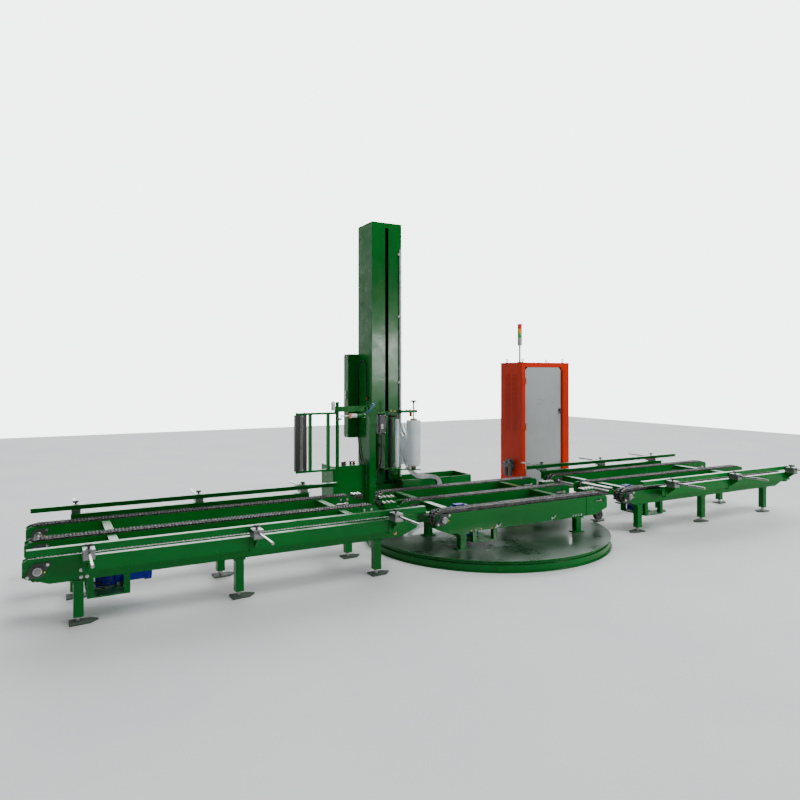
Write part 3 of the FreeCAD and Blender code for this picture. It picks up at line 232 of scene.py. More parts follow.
def paint(look, colour, rough=0.16, dust=0.12, peel=0.12, coat=0.03):
    """Sprayed enamel: slow drift of colour, orange peel, faint runs and dust on level faces."""
    drift = look.noise(1.7, 4.0)
    grime = look.noise(9.0, 6.0, roughness=0.65)
    base = look.blend(look.steps(drift, 0.3, 0.7), tone(colour, 0.86), tone(colour, 1.12))
    base = look.blend(look.steps(grime, 0.58, 0.82, 0.0, 0.35), base, tone(colour, 0.45))
    settled = look.math("MULTIPLY", look.level(),
                        look.steps(look.noise(6.0, 5.0), 0.35, 0.75, 0.1, dust))
    base = look.blend(settled, base, tone(DUST))
    gloss = look.steps(grime, 0.3, 0.8, rough, rough + 0.18)
    gloss = look.math("ADD", gloss, look.math("MULTIPLY", settled, 0.5))
    normal = look.bump(look.noise(150.0, 2.0), peel, 0.0006)
    normal = look.bump(look.noise(5.0, 2.0), 0.25, 0.004, normal)
    return look.shader({"Base Color": base, "Roughness": gloss, "Normal": normal,
                        "Coat Weight": coat, "Coat Roughness": 0.05, "Specular IOR Level": 0.15})


def metal(look, colour, rough, grain=0.15, scale=60.0, stretch=None):
    """Bare or plated metal with faint tool marks and stained patches."""
    marks = look.noise(scale, 4.0, stretch)
    stain = look.noise(14.0, 5.0)
    base = look.blend(look.steps(stain, 0.35, 0.75), tone(colour), tone(colour, 0.62))
    gloss = look.steps(marks, 0.3, 0.7, rough * 0.75, rough * 1.35)
    return look.shader({"Base Color": base, "Metallic": 1.0, "Roughness": gloss,
                        "Normal": look.bump(marks, grain, 0.0006)})


def plastic(look, colour, rough=0.42, grain=0.2):
    """Moulded plastic or rubber with a fine spark-eroded grain."""
    patch = look.noise(20.0, 3.0)
    base = look.blend(look.steps(patch, 0.35, 0.7), tone(colour, 0.85), tone(colour, 1.15))
    gloss = look.steps(look.noise(70.0, 3.0), 0.3, 0.7, rough * 0.85, rough * 1.2)
    return look.shader({"Base Color": base, "Roughness": gloss,
                        "Normal": look.bump(look.noise(700.0, 2.0), grain, 0.0003)})


def greasy_steel(look, colour=(0.055, 0.055, 0.052)):
    """Oiled chain steel: dark with brighter rubbed spots."""
    rub = look.noise(45.0, 4.0)
    base = look.blend(look.steps(rub, 0.42, 0.68), tone(colour, 0.6), tone(colour, 1.9))
    return look.shader({"Base Color": base, "Metallic": 0.6,
                        "Roughness": look.steps(rub, 0.3, 0.7, 0.5, 0.3),
                        "Normal": look.bump(look.noise(220.0, 3.0), 0.3, 0.0006)})


def tread_paint(look):
    """The turntable's disc: mottled paint whose lighter patches are partly a painted reflection,
    with tyre dirt and worn rings.
    """
    paint_mottle_and_reflection = look.node("TexNoise", {"Vector": look.place, "Scale": 2.6, "Detail": 8.0,
                                    "Roughness": 0.62, "Distortion": 0.6}).outputs["Fac"]
    spots = look.noise(38.0, 5.0, roughness=0.7)
    reach = look.node("VectorMath", {0: look.place}, operation="LENGTH").outputs["Value"]
    worn = look.steps(look.math("SINE", look.math("MULTIPLY", reach, 55.0)), -1.0, 1.0, 0.0, 0.25)
    # Dark green to lighter grey-green patches: partly the paint's own mottle, partly a painted
    # mottled reflection.
    base = look.blend(look.steps(paint_mottle_and_reflection, 0.36, 0.66),
                      (0.010, 0.034, 0.016, 1), (0.060, 0.095, 0.066, 1))
    base = look.blend(look.steps(spots, 0.55, 0.75, 0.0, 0.6), base, (0.11, 0.14, 0.115, 1))
    base = look.blend(worn, base, (0.03, 0.06, 0.038, 1))
    gloss = look.steps(paint_mottle_and_reflection, 0.3, 0.7, 0.22, 0.42)
    top = look.shader({"Base Color": base, "Roughness": gloss, "Coat Weight": 0.25,
                       "Normal": look.bump(spots, 0.35, 0.001)})
    return look.mixed(look.level(), paint(look, GREEN), top)


def cardboard(look):
    """The roll's core: wound board with fibres along it."""
    fibre = look.noise(120.0, 5.0, (1, 1, 0.15))
    base = look.blend(look.steps(fibre, 0.3, 0.7), (0.30, 0.16, 0.075, 1), (0.46, 0.28, 0.15, 1))
    return look.shader({"Base Color": base, "Roughness": 0.85,
                        "Normal": look.bump(fibre, 0.4, 0.001)})


def film_on_roll(look):
    """Many clear layers wound tight: bluish white with fine rings and soft bands."""
    rings = look.noise(260.0, 3.0, (0.02, 0.02, 1.0))
    bands = look.noise(9.0, 4.0, (0.1, 0.1, 1.0))
    base = look.blend(look.steps(bands, 0.35, 0.65), (0.76, 0.86, 0.98, 1), (0.93, 0.97, 1.0, 1))
    return look.shader({"Base Color": base, "Roughness": 0.16, "Subsurface Weight": 0.25,
                        "Subsurface Radius": (0.02, 0.02, 0.03), "Coat Weight": 0.5,
                        "Normal": look.bump(rings, 0.25, 0.0008)})


def stretch_film(look, clear=0.35, crease=0.8):
    """Loose film: milky where creased, see-through where flat."""
    folds = look.noise(55.0, 6.0, (1.0, 1.0, 0.18), 0.65)
    wide = look.noise(13.0, 5.0, (1.0, 1.0, 0.4))
    base = look.blend(look.steps(folds, 0.35, 0.65), (0.72, 0.77, 0.80, 1), (0.97, 0.98, 1.0, 1))
    normal = look.bump(folds, crease, 0.004)
    normal = look.bump(wide, 0.6, 0.012, normal)
    sheet = look.shader({"Base Color": base, "Roughness": 0.18, "Normal": normal,
                         "Coat Weight": 0.6, "Transmission Weight": 0.25})
    gap = look.node("BsdfTransparent", {"Color": (0.97, 0.98, 0.98, 1)}).outputs[0]
    return look.mixed(look.steps(wide, 0.35, 0.7, clear, 0.0), sheet, gap)


def bristle_look(look):
    """Packed bristles seen end on and along: grey speckle with painted shade for the dark gaps
    between them.
    """
    speckle = look.noise(330.0, 4.0, roughness=0.75)
    # The near-black half of the speckle is painted shade in the gaps between bristles.
    base = look.blend(look.steps(speckle, 0.42, 0.62),
                      (0.03, 0.032, 0.03, 1), (0.34, 0.34, 0.32, 1))
    return look.shader({"Base Color": base, "Roughness": 0.8,
                        "Normal": look.bump(speckle, 0.9, 0.003)})


def lens_shader(look, colour):
    """Ribbed clear plastic of a signal lamp, faintly lit."""
    ribs = look.node("TexWave", {"Vector": look.place, "Scale": 60.0},
                     bands_direction="Z").outputs["Fac"]
    glow = look.blend(look.steps(ribs, 0.2, 0.8), tone(colour, 0.75), tone(colour))
    return look.shader({"Base Color": glow, "Roughness": 0.15, "Coat Weight": 0.6,
                        "Transmission Weight": 0.15, "Normal": look.bump(ribs, 0.4, 0.001),
                        "Emission Color": glow, "Emission Strength": 0.12})


def floor_look(look):
    """Plain pale floor with a slow drift."""
    cloud = look.noise(0.9, 5.0)
    base = look.blend(look.steps(cloud, 0.3, 0.7), (0.72, 0.73, 0.74, 1), (0.78, 0.78, 0.78, 1))
    return look.shader({"Base Color": base, "Roughness": 0.7})


# ------------------------------------------------------------------ masks inside one CAD node
CHANNEL_WALL = 0.0052               # side channel's sheet, with a little clearance
CHAIN_ZONE_Z = 0.40                 # the chain's slide rails lie above this
FOOT_TOP_Z = 0.0125
LEG_SCREW_TOP_Z = 0.0458
FRONT_ROD_Y = -0.7003               # the guides' adjusting rods start beyond the rails
BACK_ROD_Y = 0.7683
CORE_R = 0.0422                     # the roll's core, with a little clearance
CORE_FLANGE = 0.022
SPINDLE_KNOB_Z = 1.277
UNIT_HEADS = 0.0102                 # bearing units' bolt heads stand beyond this
HUB_R = 0.0475
TABLE_WHEELS_Z = 0.285
ROLLER_CLAMP_Z = 1.0905
BRUSH_STRIP_X = (-1.4235, -1.3725)
CYLINDER_CAP_X = -0.8395
CYLINDER_BARREL_X = -0.772


def below(look, axis, limit):
    return look.math("LESS_THAN", look.coordinate(axis), limit)


def above(look, axis, limit):
    return look.math("GREATER_THAN", look.coordinate(axis), limit)


def both(look, a, b):
    return look.math("MULTIPLY", a, b)


def inside_strand(look):
    """Between a strand's two side channels, near the chain."""
    between = look.math("LESS_THAN", from_strand(look), STRAND_HALF - CHANNEL_WALL)
    return both(look, between, above(look, "Z", CHAIN_ZONE_Z))


def from_strand(look):
    """Distance across from the middle of the nearest strand."""
    return look.math("PINGPONG", look.coordinate("Y"), STRANDS[2] / 2)


def outside_hub(look):
    """Farther than a bearing's hub from all three drive shafts."""
    sideways = 1.0
    for shaft in ("infeed_drive_shaft", "table_drive_shaft", "outfeed_drive_shaft"):
        gap = look.math("ABSOLUTE", look.math("SUBTRACT", look.coordinate("X"), middle_x(shaft)))
        sideways = look.math("MINIMUM", sideways, gap)
    upwards = look.math("SUBTRACT", look.coordinate("Z"), CHAIN_AXIS_Z)
    square = look.math("ADD", look.math("MULTIPLY", sideways, sideways),
                       look.math("MULTIPLY", upwards, upwards))
    return look.math("GREATER_THAN", square, HUB_R ** 2)


# ------------------------------------------------------------------ finishes of the CAD nodes
def assign(material, *nodes):
    """Puts the material on every slot of the named CAD nodes."""
    for name in nodes:
        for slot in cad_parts[name].material_slots:
            slot.material = material


def finish_simple():
    """Nodes that have one finish all over."""
    table = (
        ("green_enamel", paint, {"colour": GREEN},
         ("base_ring", "table_legs", "table_transfer_brackets", "mast_base", "carriage_frame",
          "wiper_post", "mast_switch_box", "mast_column", "wiper_arm")),
        ("conduit_white", plastic, {"colour": (0.62, 0.64, 0.64), "rough": 0.35},
         ("mast_conduit",)),
        ("disc_paint", tread_paint, {}, ("turntable_disc",)),
        ("chain_steel", greasy_steel, {},
         ("conveyor_chains", "table_chains", "ring_gear", "drive_pinion")),
        ("shaft_steel", metal, {"colour": (0.32, 0.32, 0.31), "rough": 0.34},
         ("infeed_drive_shaft", "infeed_idlers", "outfeed_drive_shaft", "outfeed_idlers",
          "table_drive_shaft", "table_idlers", "mast_lift_drive")),
        ("roller_chrome", metal, {"colour": (0.62, 0.62, 0.60), "rough": 0.2},
         ("conveyor_transfer_rollers", "table_transfer_rollers", "wiper_rod", "cabinet_eyebolts")),
        ("cast_aluminium", metal, {"colour": (0.30, 0.31, 0.31), "rough": 0.42, "grain": 0.4},
         ("guide_clamps",)),
        ("knob_plastic", plastic, {"colour": (0.02, 0.02, 0.022)}, ("clamp_knobs",)),
        ("motor_blue", paint, {"colour": BLUE, "rough": 0.4},
         ("conveyor_gearmotors", "turntable_gearmotor", "table_gearmotor")),
        ("motor_grey", plastic, {"colour": (0.045, 0.05, 0.055), "rough": 0.4},
         ("carriage_motor",)),
        ("cable_rubber", plastic, {"colour": (0.012, 0.012, 0.013), "rough": 0.5},
         ("mast_cable",)),
        ("roller_rubber", plastic, {"colour": (0.02, 0.02, 0.02), "rough": 0.45},
         ("prestretch_roller_1",)),
        ("cabinet_orange", paint, {"colour": ORANGE, "rough": 0.32, "dust": 0.1},
         ("cabinet_shell",)),
        ("cabinet_panel", paint, {"colour": PANEL, "rough": 0.4, "dust": 0.05, "coat": 0.1},
         ("cabinet_door",)),
        ("latch_black", plastic, {"colour": (0.03, 0.03, 0.032)}, ("cabinet_latch",)),
        ("tower_grey", plastic, {"colour": (0.42, 0.43, 0.43), "rough": 0.35}, ("signal_base",)),
        ("air_fittings", plastic, {"colour": (0.10, 0.105, 0.11), "rough": 0.4}, ("air_unit",)),
    )
    for name, recipe, settings, nodes in table:
        assign(finished(name, recipe, **settings), *nodes)


def finish_masked():
    """Nodes whose bodies carry two or three finishes."""
    look = Look("strand_enamel")
    shade = look.mixed(inside_strand(look), paint(look, GREEN), greasy_steel(look))
    assign(look.done(shade), "infeed_frame", "outfeed_frame", "table_frame")

    look = Look("leg_enamel")
    screw = both(look, above(look, "Z", FOOT_TOP_Z), below(look, "Z", LEG_SCREW_TOP_Z))
    shade = look.mixed(screw, paint(look, GREEN), metal(look, (0.5, 0.5, 0.48), 0.35))
    foot = paint(look, (0.055, 0.085, 0.06), rough=0.5, dust=0.7)
    shade = look.mixed(below(look, "Z", FOOT_TOP_Z), shade, foot)
    assign(look.done(shade), "infeed_legs", "outfeed_legs")

    for name, side, limit in (("front_guide", below, FRONT_ROD_Y),
                              ("back_guide", above, BACK_ROD_Y)):
        look = Look(name)
        rod = metal(look, (0.42, 0.42, 0.42), 0.22)
        shade = look.mixed(side(look, "Y", limit), paint(look, GREEN), rod)
        assign(look.done(shade), "infeed_" + name, "outfeed_" + name)

    look = Look("film_roll")
    lo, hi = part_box("film_roll")
    centre = ((lo.x + hi.x) / 2, (lo.y + hi.y) / 2, 0.0)
    away = look.node("VectorMath", {0: look.place, 1: centre}, operation="SUBTRACT").outputs[0]
    away = look.node("VectorMath", {0: away, 1: (1, 1, 0)}, operation="MULTIPLY").outputs[0]
    reach = look.node("VectorMath", {0: away}, operation="LENGTH").outputs["Value"]
    is_core = look.math("LESS_THAN", reach, CORE_R)
    shade = look.mixed(is_core, film_on_roll(look), cardboard(look))
    flange = metal(look, (0.2, 0.2, 0.2), 0.4)
    shade = look.mixed(below(look, "Z", lo.z + CORE_FLANGE), shade, flange)
    assign(look.done(shade), "film_roll")

    look = Look("spindle")
    knob = plastic(look, (0.015, 0.015, 0.016))
    bar = metal(look, (0.60, 0.61, 0.61), 0.25)
    shade = look.mixed(above(look, "Z", SPINDLE_KNOB_Z), bar, knob)
    assign(look.done(shade), "spindle_handle")

    look = Look("bearing_units")
    cast = plastic(look, (0.045, 0.055, 0.05), 0.4, 0.6)
    bright = metal(look, (0.62, 0.63, 0.62), 0.28)
    heads = both(look, look.math("GREATER_THAN", from_strand(look), STRAND_HALF + UNIT_HEADS),
                 outside_hub(look))
    wheel = plastic(look, (0.012, 0.012, 0.012), 0.55)
    shade = look.mixed(below(look, "Z", TABLE_WHEELS_Z), look.mixed(heads, cast, bright), wheel)
    assign(look.done(shade), "conveyor_bearings", "table_bearings")

    look = Look("second_roller")
    wrapped = film_on_roll(look)
    clamp = metal(look, (0.25, 0.25, 0.25), 0.4)
    shade = look.mixed(above(look, "Z", ROLLER_CLAMP_Z), wrapped, clamp)
    assign(look.done(shade), "prestretch_roller_2")

    look = Look("brush")
    strip = plastic(look, (0.014, 0.014, 0.015), 0.35)
    left, right = BRUSH_STRIP_X
    middle = both(look, above(look, "X", left), below(look, "X", right))
    assign(look.done(look.mixed(middle, strip, bristle_look(look))), "wiper_brush")

    look = Look("air_cylinder")
    white = plastic(look, (0.75, 0.76, 0.76), 0.3)
    orange = plastic(look, (0.85, 0.18, 0.02), 0.35)
    shade = look.mixed(below(look, "X", CYLINDER_BARREL_X), paint(look, GREEN), white)
    shade = look.mixed(below(look, "X", CYLINDER_CAP_X), shade, orange)
    assign(look.done(shade), "wiper_cylinder")

    look = Look("lenses")
    lo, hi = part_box("signal_lenses")
    step = (hi.z - lo.z) / 3
    shade = look.mixed(above(look, "Z", lo.z + step), lens_shader(look, (0.02, 0.42, 0.06)),
                       lens_shader(look, (0.85, 0.42, 0.02)))
    shade = look.mixed(above(look, "Z", lo.z + 2 * step), shade,
                       lens_shader(look, (0.75, 0.02, 0.02)))
    assign(look.done(shade), "signal_lenses")


# ------------------------------------------------------------------ mesh building
class Build:
    """Collects bevelled blocks, turned parts and bolt heads into one mesh."""

    def __init__(self):
        self.verts = []
        self.faces = []
        self.slots = []

    def add(self, verts, faces, slot=0):
        """Adds one closed or open part, numbered on from what is there."""
        start = len(self.verts)
        self.verts.extend(tuple(v) for v in verts)
        self.faces.extend(tuple(start + i for i in face) for face in faces)
        self.slots.extend([slot] * len(faces))

    def ring_stack(self, rings, slot=0, caps=True):
        """Skin through rings of equal point count."""
        count = len(rings[0])
        verts = [p for ring in rings for p in ring]
        faces = []
        for low in range(0, (len(rings) - 1) * count, count):
            high = low + count
            for i in range(count):
                j = (i + 1) % count
                faces.append((low + i, low + j, high + j, high + i))
        if caps:
            faces.append(tuple(reversed(range(count))))
            faces.append(tuple((len(rings) - 1) * count + i for i in range(count)))
        self.add(verts, faces, slot)

    def turned(self, place, axis, profile, sides=16, slot=0):
        """Solid of revolution: profile is (distance along the axis, radius)."""
        axis = Vector(axis).normalized()
        side = axis.orthogonal().normalized()
        other = axis.cross(side)
        rings = []
        for along, radius in profile:
            centre = Vector(place) + axis * along
            rings.append([centre + (side * math.cos(t) + other * math.sin(t)) * radius
                          for t in (2 * math.pi * i / sides for i in range(sides))])
        self.ring_stack(rings, slot)

    def block(self, lo, hi, edge=0.0015, slot=0):
        """Box with its upright edges and rims chamfered by edge."""
        x0, y0, z0 = lo
        x1, y1, z1 = hi
        edge = min(edge, 0.45 * min(x1 - x0, y1 - y0, z1 - z0))

        def outline(inset, z):
            a, b, c, d = x0 + inset, x1 - inset, y0 + inset, y1 - inset
            return [(a + edge, c, z), (b - edge, c, z), (b, c + edge, z), (b, d - edge, z),
                    (b - edge, d, z), (a + edge, d, z), (a, d - edge, z), (a, c + edge, z)]
        self.ring_stack([outline(edge, z0), outline(0, z0 + edge), outline(0, z1 - edge),
                         outline(edge, z1)], slot)

    def bolt(self, place, axis, across=0.015, height=0.006, slot=0):
        """Washer and hexagon head standing on a face."""
        half = across / 2
        washer = 0.0016
        self.turned(place, axis, ((0, half * 1.45), (washer, half * 1.45), (washer + 0.0002, half)),
                    14, slot)
        self.turned(Vector(place) + Vector(axis).normalized() * washer, axis,
                    ((0, half * 1.1), (height * 0.8, half * 1.1), (height, half * 0.85)), 6, slot)

    def make(self, name, body, materials, smooth=35.0):
        """The finished mesh object, riding on body; edges over smooth degrees stay sharp."""
        mesh = bpy.data.meshes.new(name)
        mesh.from_pydata(self.verts, [], self.faces)
        for material in materials:
            mesh.materials.append(material)
        mesh.polygons.foreach_set("material_index", self.slots)
        mesh.update()
        mesh.shade_smooth()
        piece = bpy.data.objects.new(name, mesh)
        bpy.context.scene.collection.objects.link(piece)
        if smooth:
            mesh.set_sharp_from_angle(angle=math.radians(smooth))
        if body:
            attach(piece, body)
        return piece


# ------------------------------------------------------------------ chains
def stadium_point(x0, z0, x1, z1, radius, travel):
    """Point and heading on the line round two equal wheels, after a travel from the top start."""
    run = math.hypot(x1 - x0, z1 - z0)
    along = Vector(((x1 - x0) / run, 0, (z1 - z0) / run))
    up = Vector((-along.z, 0, along.x))
    turn = math.pi * radius
    first = Vector((x0, 0, z0))
    last = Vector((x1, 0, z1))
    if travel < run:
        return first + up * radius + along * travel, along
    travel -= run
    if travel < turn:
        angle = travel / radius
        out = up * math.cos(angle) + along * math.sin(angle)
        return last + out * radius, along * math.cos(angle) - up * math.sin(angle)
    travel -= turn
    if travel < run:
        return last - up * radius - along * travel, -along
    angle = (travel - run) / radius
    out = -up * math.cos(angle) - along * math.sin(angle)
    return first + out * radius, -along * math.cos(angle) + up * math.sin(angle)


def chain_links(build, x0, z0, x1, z1, radius, y, pitch, plates, rollers, height, roller_r):
    """Roller chain: paired link plates, drawn in to a waist, and the rollers between them.

    plates: for even and odd links, (offset across, thickness); rollers: (low, high) across.
    """
    length = 2 * math.hypot(x1 - x0, z1 - z0) + 2 * math.pi * radius
    count = 2 * round(length / pitch / 2)
    step = length / count
    for i in range(count):
        here, ahead = stadium_point(x0, z0, x1, z1, radius, i * step)
        nxt, _ = stadium_point(x0, z0, x1, z1, radius, ((i + 1) * step) % length)
        middle = (here + nxt) / 2
        along = (nxt - here).normalized()
        up = Vector((-along.z, 0, along.x))
        half = step / 2
        tall = height / 2
        shoulder = tall / 2
        waist = tall * 0.66
        end = half + tall * 0.8
        outline = ((-end, -shoulder), (-half, -tall), (0, -waist), (half, -tall), (end, -shoulder),
                   (end, shoulder), (half, tall), (0, waist), (-half, tall), (-end, shoulder))
        for offset, thick in plates[i % 2]:
            rings = []
            for side in (-thick / 2, thick / 2):
                rings.append([middle + along * a + up * b + Y_AXIS * (y + offset + side)
                              for a, b in outline])
            build.ring_stack(rings)
        for low, high in rollers:
            build.turned(here + Y_AXIS * (y + low), Y_AXIS,
                         ((0, roller_r), (high - low, roller_r)), 8, 1)


def strand_plates():
    """Two rows of links: the inner and outer plates lie beside each other in turn."""
    thick = 0.0036
    outer = [(offset, thick) for offset in (-0.0478, -0.0060, 0.0060, 0.0478)]
    inner = [(offset, thick) for offset in (-0.0436, -0.0102, 0.0102, 0.0436)]
    return (outer, inner), ((-0.0416, -0.0122), (0.0122, 0.0416))


def add_chains():
    """The link chains on every strand and the short drive chains beside the near strand."""
    link_steel = finished("link_plates", greasy_steel, (0.05, 0.05, 0.048))
    roller_steel = finished("link_rollers", greasy_steel, (0.26, 0.26, 0.25))
    plates, rollers = strand_plates()
    small = ([(-0.0066, 0.0016), (0.0066, 0.0016)], [(-0.0046, 0.0016), (0.0046, 0.0016)])
    for name, node, body, sets in (
        ("conveyor_links", "conveyor_chains", "frame",
         (("infeed_drive_shaft", "infeed_idlers", -3.47, 0.222),
          ("outfeed_drive_shaft", "outfeed_idlers", 1.69, 0.222))),
        ("table_links", "table_chains", "turntable",
         (("table_drive_shaft", "table_idlers", -0.44, 0.212),)),
    ):
        build = Build()
        for shaft, idlers, motor_x, motor_z in sets:
            first, last = sorted((middle_x(shaft), middle_x(idlers)))
            for y in STRANDS:
                chain_links(build, first, CHAIN_AXIS_Z, last, CHAIN_AXIS_Z, CHAIN_PITCH_R, y,
                            CHAIN_PITCH, plates, rollers, 0.0285, 0.0098)
            wheels = sorted(((middle_x(shaft), CHAIN_AXIS_Z), (motor_x, motor_z)))
            chain_links(build, *wheels[0], *wheels[1], DRIVE_CHAIN_R, DRIVE_CHAIN_Y,
                        DRIVE_CHAIN_PITCH, small, ((-0.0036, 0.0036),), 0.0085, 0.0038)
        piece = build.make(name, body, [link_steel, roller_steel])
        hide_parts(node)


# ------------------------------------------------------------------ cords
def add_cord(name, body, node, route, radius, material):
    """Curve through the route, standing for the CAD node's plain cord."""
    data = bpy.data.curves.new(name, "CURVE")
    data.dimensions = "3D"
    spline = data.splines.new("NURBS")
    spline.points.add(len(route) - 1)
    for point, place in zip(spline.points, route):
        point.co = (*place, 1.0)
    spline.order_u = 3
    spline.use_endpoint_u = True
    spline.resolution_u = 12
    data.bevel_depth = radius
    data.bevel_resolution = 5
    data.use_fill_caps = True
    data.materials.append(material)
    piece = bpy.data.objects.new(name, data)
    bpy.context.scene.collection.objects.link(piece)
    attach(piece, body)
    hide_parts(node)


def add_cords():
    """The loop of cable under the carriage and the air hose over the cylinder."""
    black = finished("flex_black", plastic, (0.012, 0.012, 0.014), 0.45)
    blue = finished("hose_blue", plastic, (0.02, 0.10, 0.42), 0.25, 0.05)
    cable = (
        (-0.430, 1.434, 0.904), (-0.430, 1.434, 0.790), (-0.426, 1.438, 0.680),
        (-0.430, 1.452, 0.570), (-0.443, 1.490, 0.472), (-0.466, 1.548, 0.408),
        (-0.492, 1.618, 0.396), (-0.508, 1.674, 0.446), (-0.504, 1.702, 0.536),
        (-0.480, 1.710, 0.630), (-0.440, 1.708, 0.708), (-0.395, 1.708, 0.762),
    )
    add_cord("carriage_flex", "carriage", "carriage_cable", cable, 0.008, black)
    hose = (
        (-0.684, 1.342, 1.166), (-0.684, 1.302, 1.172), (-0.660, 1.276, 1.200),
        (-0.618, 1.280, 1.240), (-0.580, 1.308, 1.272), (-0.556, 1.358, 1.284),
        (-0.549, 1.430, 1.264), (-0.549, 1.450, 1.236),
    )
    add_cord("cylinder_hose", "frame", "wiper_hose", hose, 0.006, blue)


# ------------------------------------------------------------------ film
def smooth_line(points, t):
    """Catmull-Rom line through the points; t runs from 0 to 1."""
    spans = len(points) - 1
    place = min(t * spans, spans - 1e-6)
    i = int(place)
    f = place - i
    p0 = Vector(points[max(i - 1, 0)])
    p1 = Vector(points[i])
    p2 = Vector(points[i + 1])
    p3 = Vector(points[min(i + 2, spans)])
    return 0.5 * (2 * p1 + (p2 - p0) * f + (2 * p0 - 5 * p1 + 4 * p2 - p3) * f * f
                  + (3 * p1 - p0 - 3 * p2 + p3) * f ** 3)


def grid_piece(name, rows, columns, point, body, material):
    """Open sheet from a function of row and column."""
    build = Build()
    verts = [point(r, c) for r in range(rows) for c in range(columns)]
    faces = [(i, i + 1, i + columns + 1, i + columns)
             for i in (r * columns + c for r in range(rows - 1) for c in range(columns - 1))]
    build.add(verts, faces)
    return build.make(name, body, [material], 180)


def add_film_tail(material):
    """The cut end of the film, drawn together into pleated strands that hang over the tray."""
    line = ((-0.150, 1.488, 0.875), (-0.118, 1.489, 0.760), (-0.078, 1.490, 0.640),
            (-0.040, 1.491, 0.530), (0.000, 1.491, 0.455), (0.085, 1.491, 0.398),
            (0.190, 1.491, 0.382), (0.290, 1.491, 0.370), (0.362, 1.491, 0.345),
            (0.392, 1.490, 0.300), (0.396, 1.490, 0.247))
    rows = 150
    columns = 61
    film_width = 0.50
    step = film_width / (columns - 1)
    rng = random.Random(5)
    shift = [rng.uniform(-0.3, 0.3) for _ in range(columns)]
    phase = [rng.uniform(0, math.tau) for _ in range(columns)]

    def point(r, c):
        t = r / (rows - 1)
        here = smooth_line(line, t)
        ahead = smooth_line(line, min(t + 0.004, 1.0)) - smooth_line(line, max(t - 0.004, 0.0))
        along = ahead.normalized()
        across = along.cross(Y_AXIS).normalized()
        spread = 0.050 + 0.085 * max(0.0, 1 - t / 0.4) ** 1.3 + 0.028 * max(0.0, (t - 0.8) / 0.2)
        place = c / (columns - 1) - 0.5
        strand = math.sin(place * math.tau * 2.5 + 0.8) * 0.16
        wander = 0.10 * math.sin(7 * t + 9 * place) + 0.04 * math.sin(23 * t + phase[c])
        side = spread * (place + strand * place + wander * 0.5 + shift[c] * 0.03)
        pleat = math.sqrt(max(step ** 2 - (spread / (columns - 1)) ** 2, 0.0))
        depth = pleat * (0.5 if c % 2 else -0.5)
        twist = 0.0022 * math.sin(31 * t + phase[c])
        return here + across * side + Y_AXIS * (depth + twist)

    piece = grid_piece("film_strands", rows, columns, point, "carriage", material)
    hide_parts("film_tail")


def add_film_web(material):
    """Crumpled film between the second roller and the roll."""
    lo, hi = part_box("film_web")
    start = Vector((lo.x, hi.y - 0.0025, 0))
    end = Vector((hi.x, lo.y + 0.0025, 0))
    out = (end - start).normalized().cross(Z_AXIS)
    rows = 130
    columns = 34
    rng = random.Random(11)
    waves = [(rng.uniform(18, 70), rng.uniform(20, 90), rng.uniform(0, math.tau),
              rng.uniform(0.3, 1.0)) for _ in range(9)]

    def point(r, c):
        z = lo.z + (hi.z - lo.z) * r / (rows - 1)
        f = c / (columns - 1)
        x = f * (end - start).length
        ripple = sum(w * math.sin(a * z + b * x + p) for a, b, p, w in waves) / len(waves)
        ripple += 0.35 * math.sin(140 * (x + 0.35 * z))
        held = math.sin(math.pi * f) ** 0.6
        neck = 1.0 + 0.03 * math.sin(17 * z)
        level_place = start.lerp(end, f * neck if f < 1 else 1.0)
        return level_place + out * (0.0075 * ripple * held) + Z_AXIS * z

    piece = grid_piece("film_sheet", rows, columns, point, "carriage", material)
    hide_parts("film_web")


def add_film():
    gathered = finished("film_gathered", stretch_film, 0.1, 0.9)
    crumpled = finished("film_crumpled", stretch_film, 0.15, 1.0)
    add_film_tail(gathered)
    add_film_web(crumpled)


# ------------------------------------------------------------------ small fittings
BRIGHT, RED, YELLOW, BLACK, PALE, RUST, SHADE = range(7)      # slots of the fittings' materials


def fitting_materials():
    """One material per slot, in the order of the slots' numbers."""
    return [
        finished("bolt_zinc", metal, (0.62, 0.63, 0.62), 0.28),
        finished("bolt_copper", metal, (0.55, 0.30, 0.18), 0.35),
        finished("cap_yellow", plastic, (0.75, 0.68, 0.02), 0.4),
        finished("fitting_black", plastic, (0.015, 0.015, 0.016), 0.4),
        finished("fitting_pale", plastic, (0.68, 0.70, 0.70), 0.35),
        finished("fitting_orange", plastic, (0.62, 0.14, 0.015), 0.4),
        finished("cabinet_shade", paint, (0.30, 0.012, 0.0)),
    ]


def bearing_fittings(build, shaft_x):
    """Shaft end with its collar and a yellow cap on the grease nipple, on every unit."""
    for y in STRANDS:
        for side in (-1, 1):
            face = y + side * (STRAND_HALF + 0.028)
            out = (0, side, 0)
            build.turned((shaft_x, face, CHAIN_AXIS_Z), out,
                         ((0, 0.0265), (0.006, 0.0265), (0.008, 0.0245)), 20, BRIGHT)
            nipple = (shaft_x + 0.040, y + side * (STRAND_HALF + 0.024), CHAIN_AXIS_Z - 0.008)
            build.turned(nipple, out, ((0, 0.0052), (0.006, 0.0052), (0.009, 0.003)), 10, YELLOW)


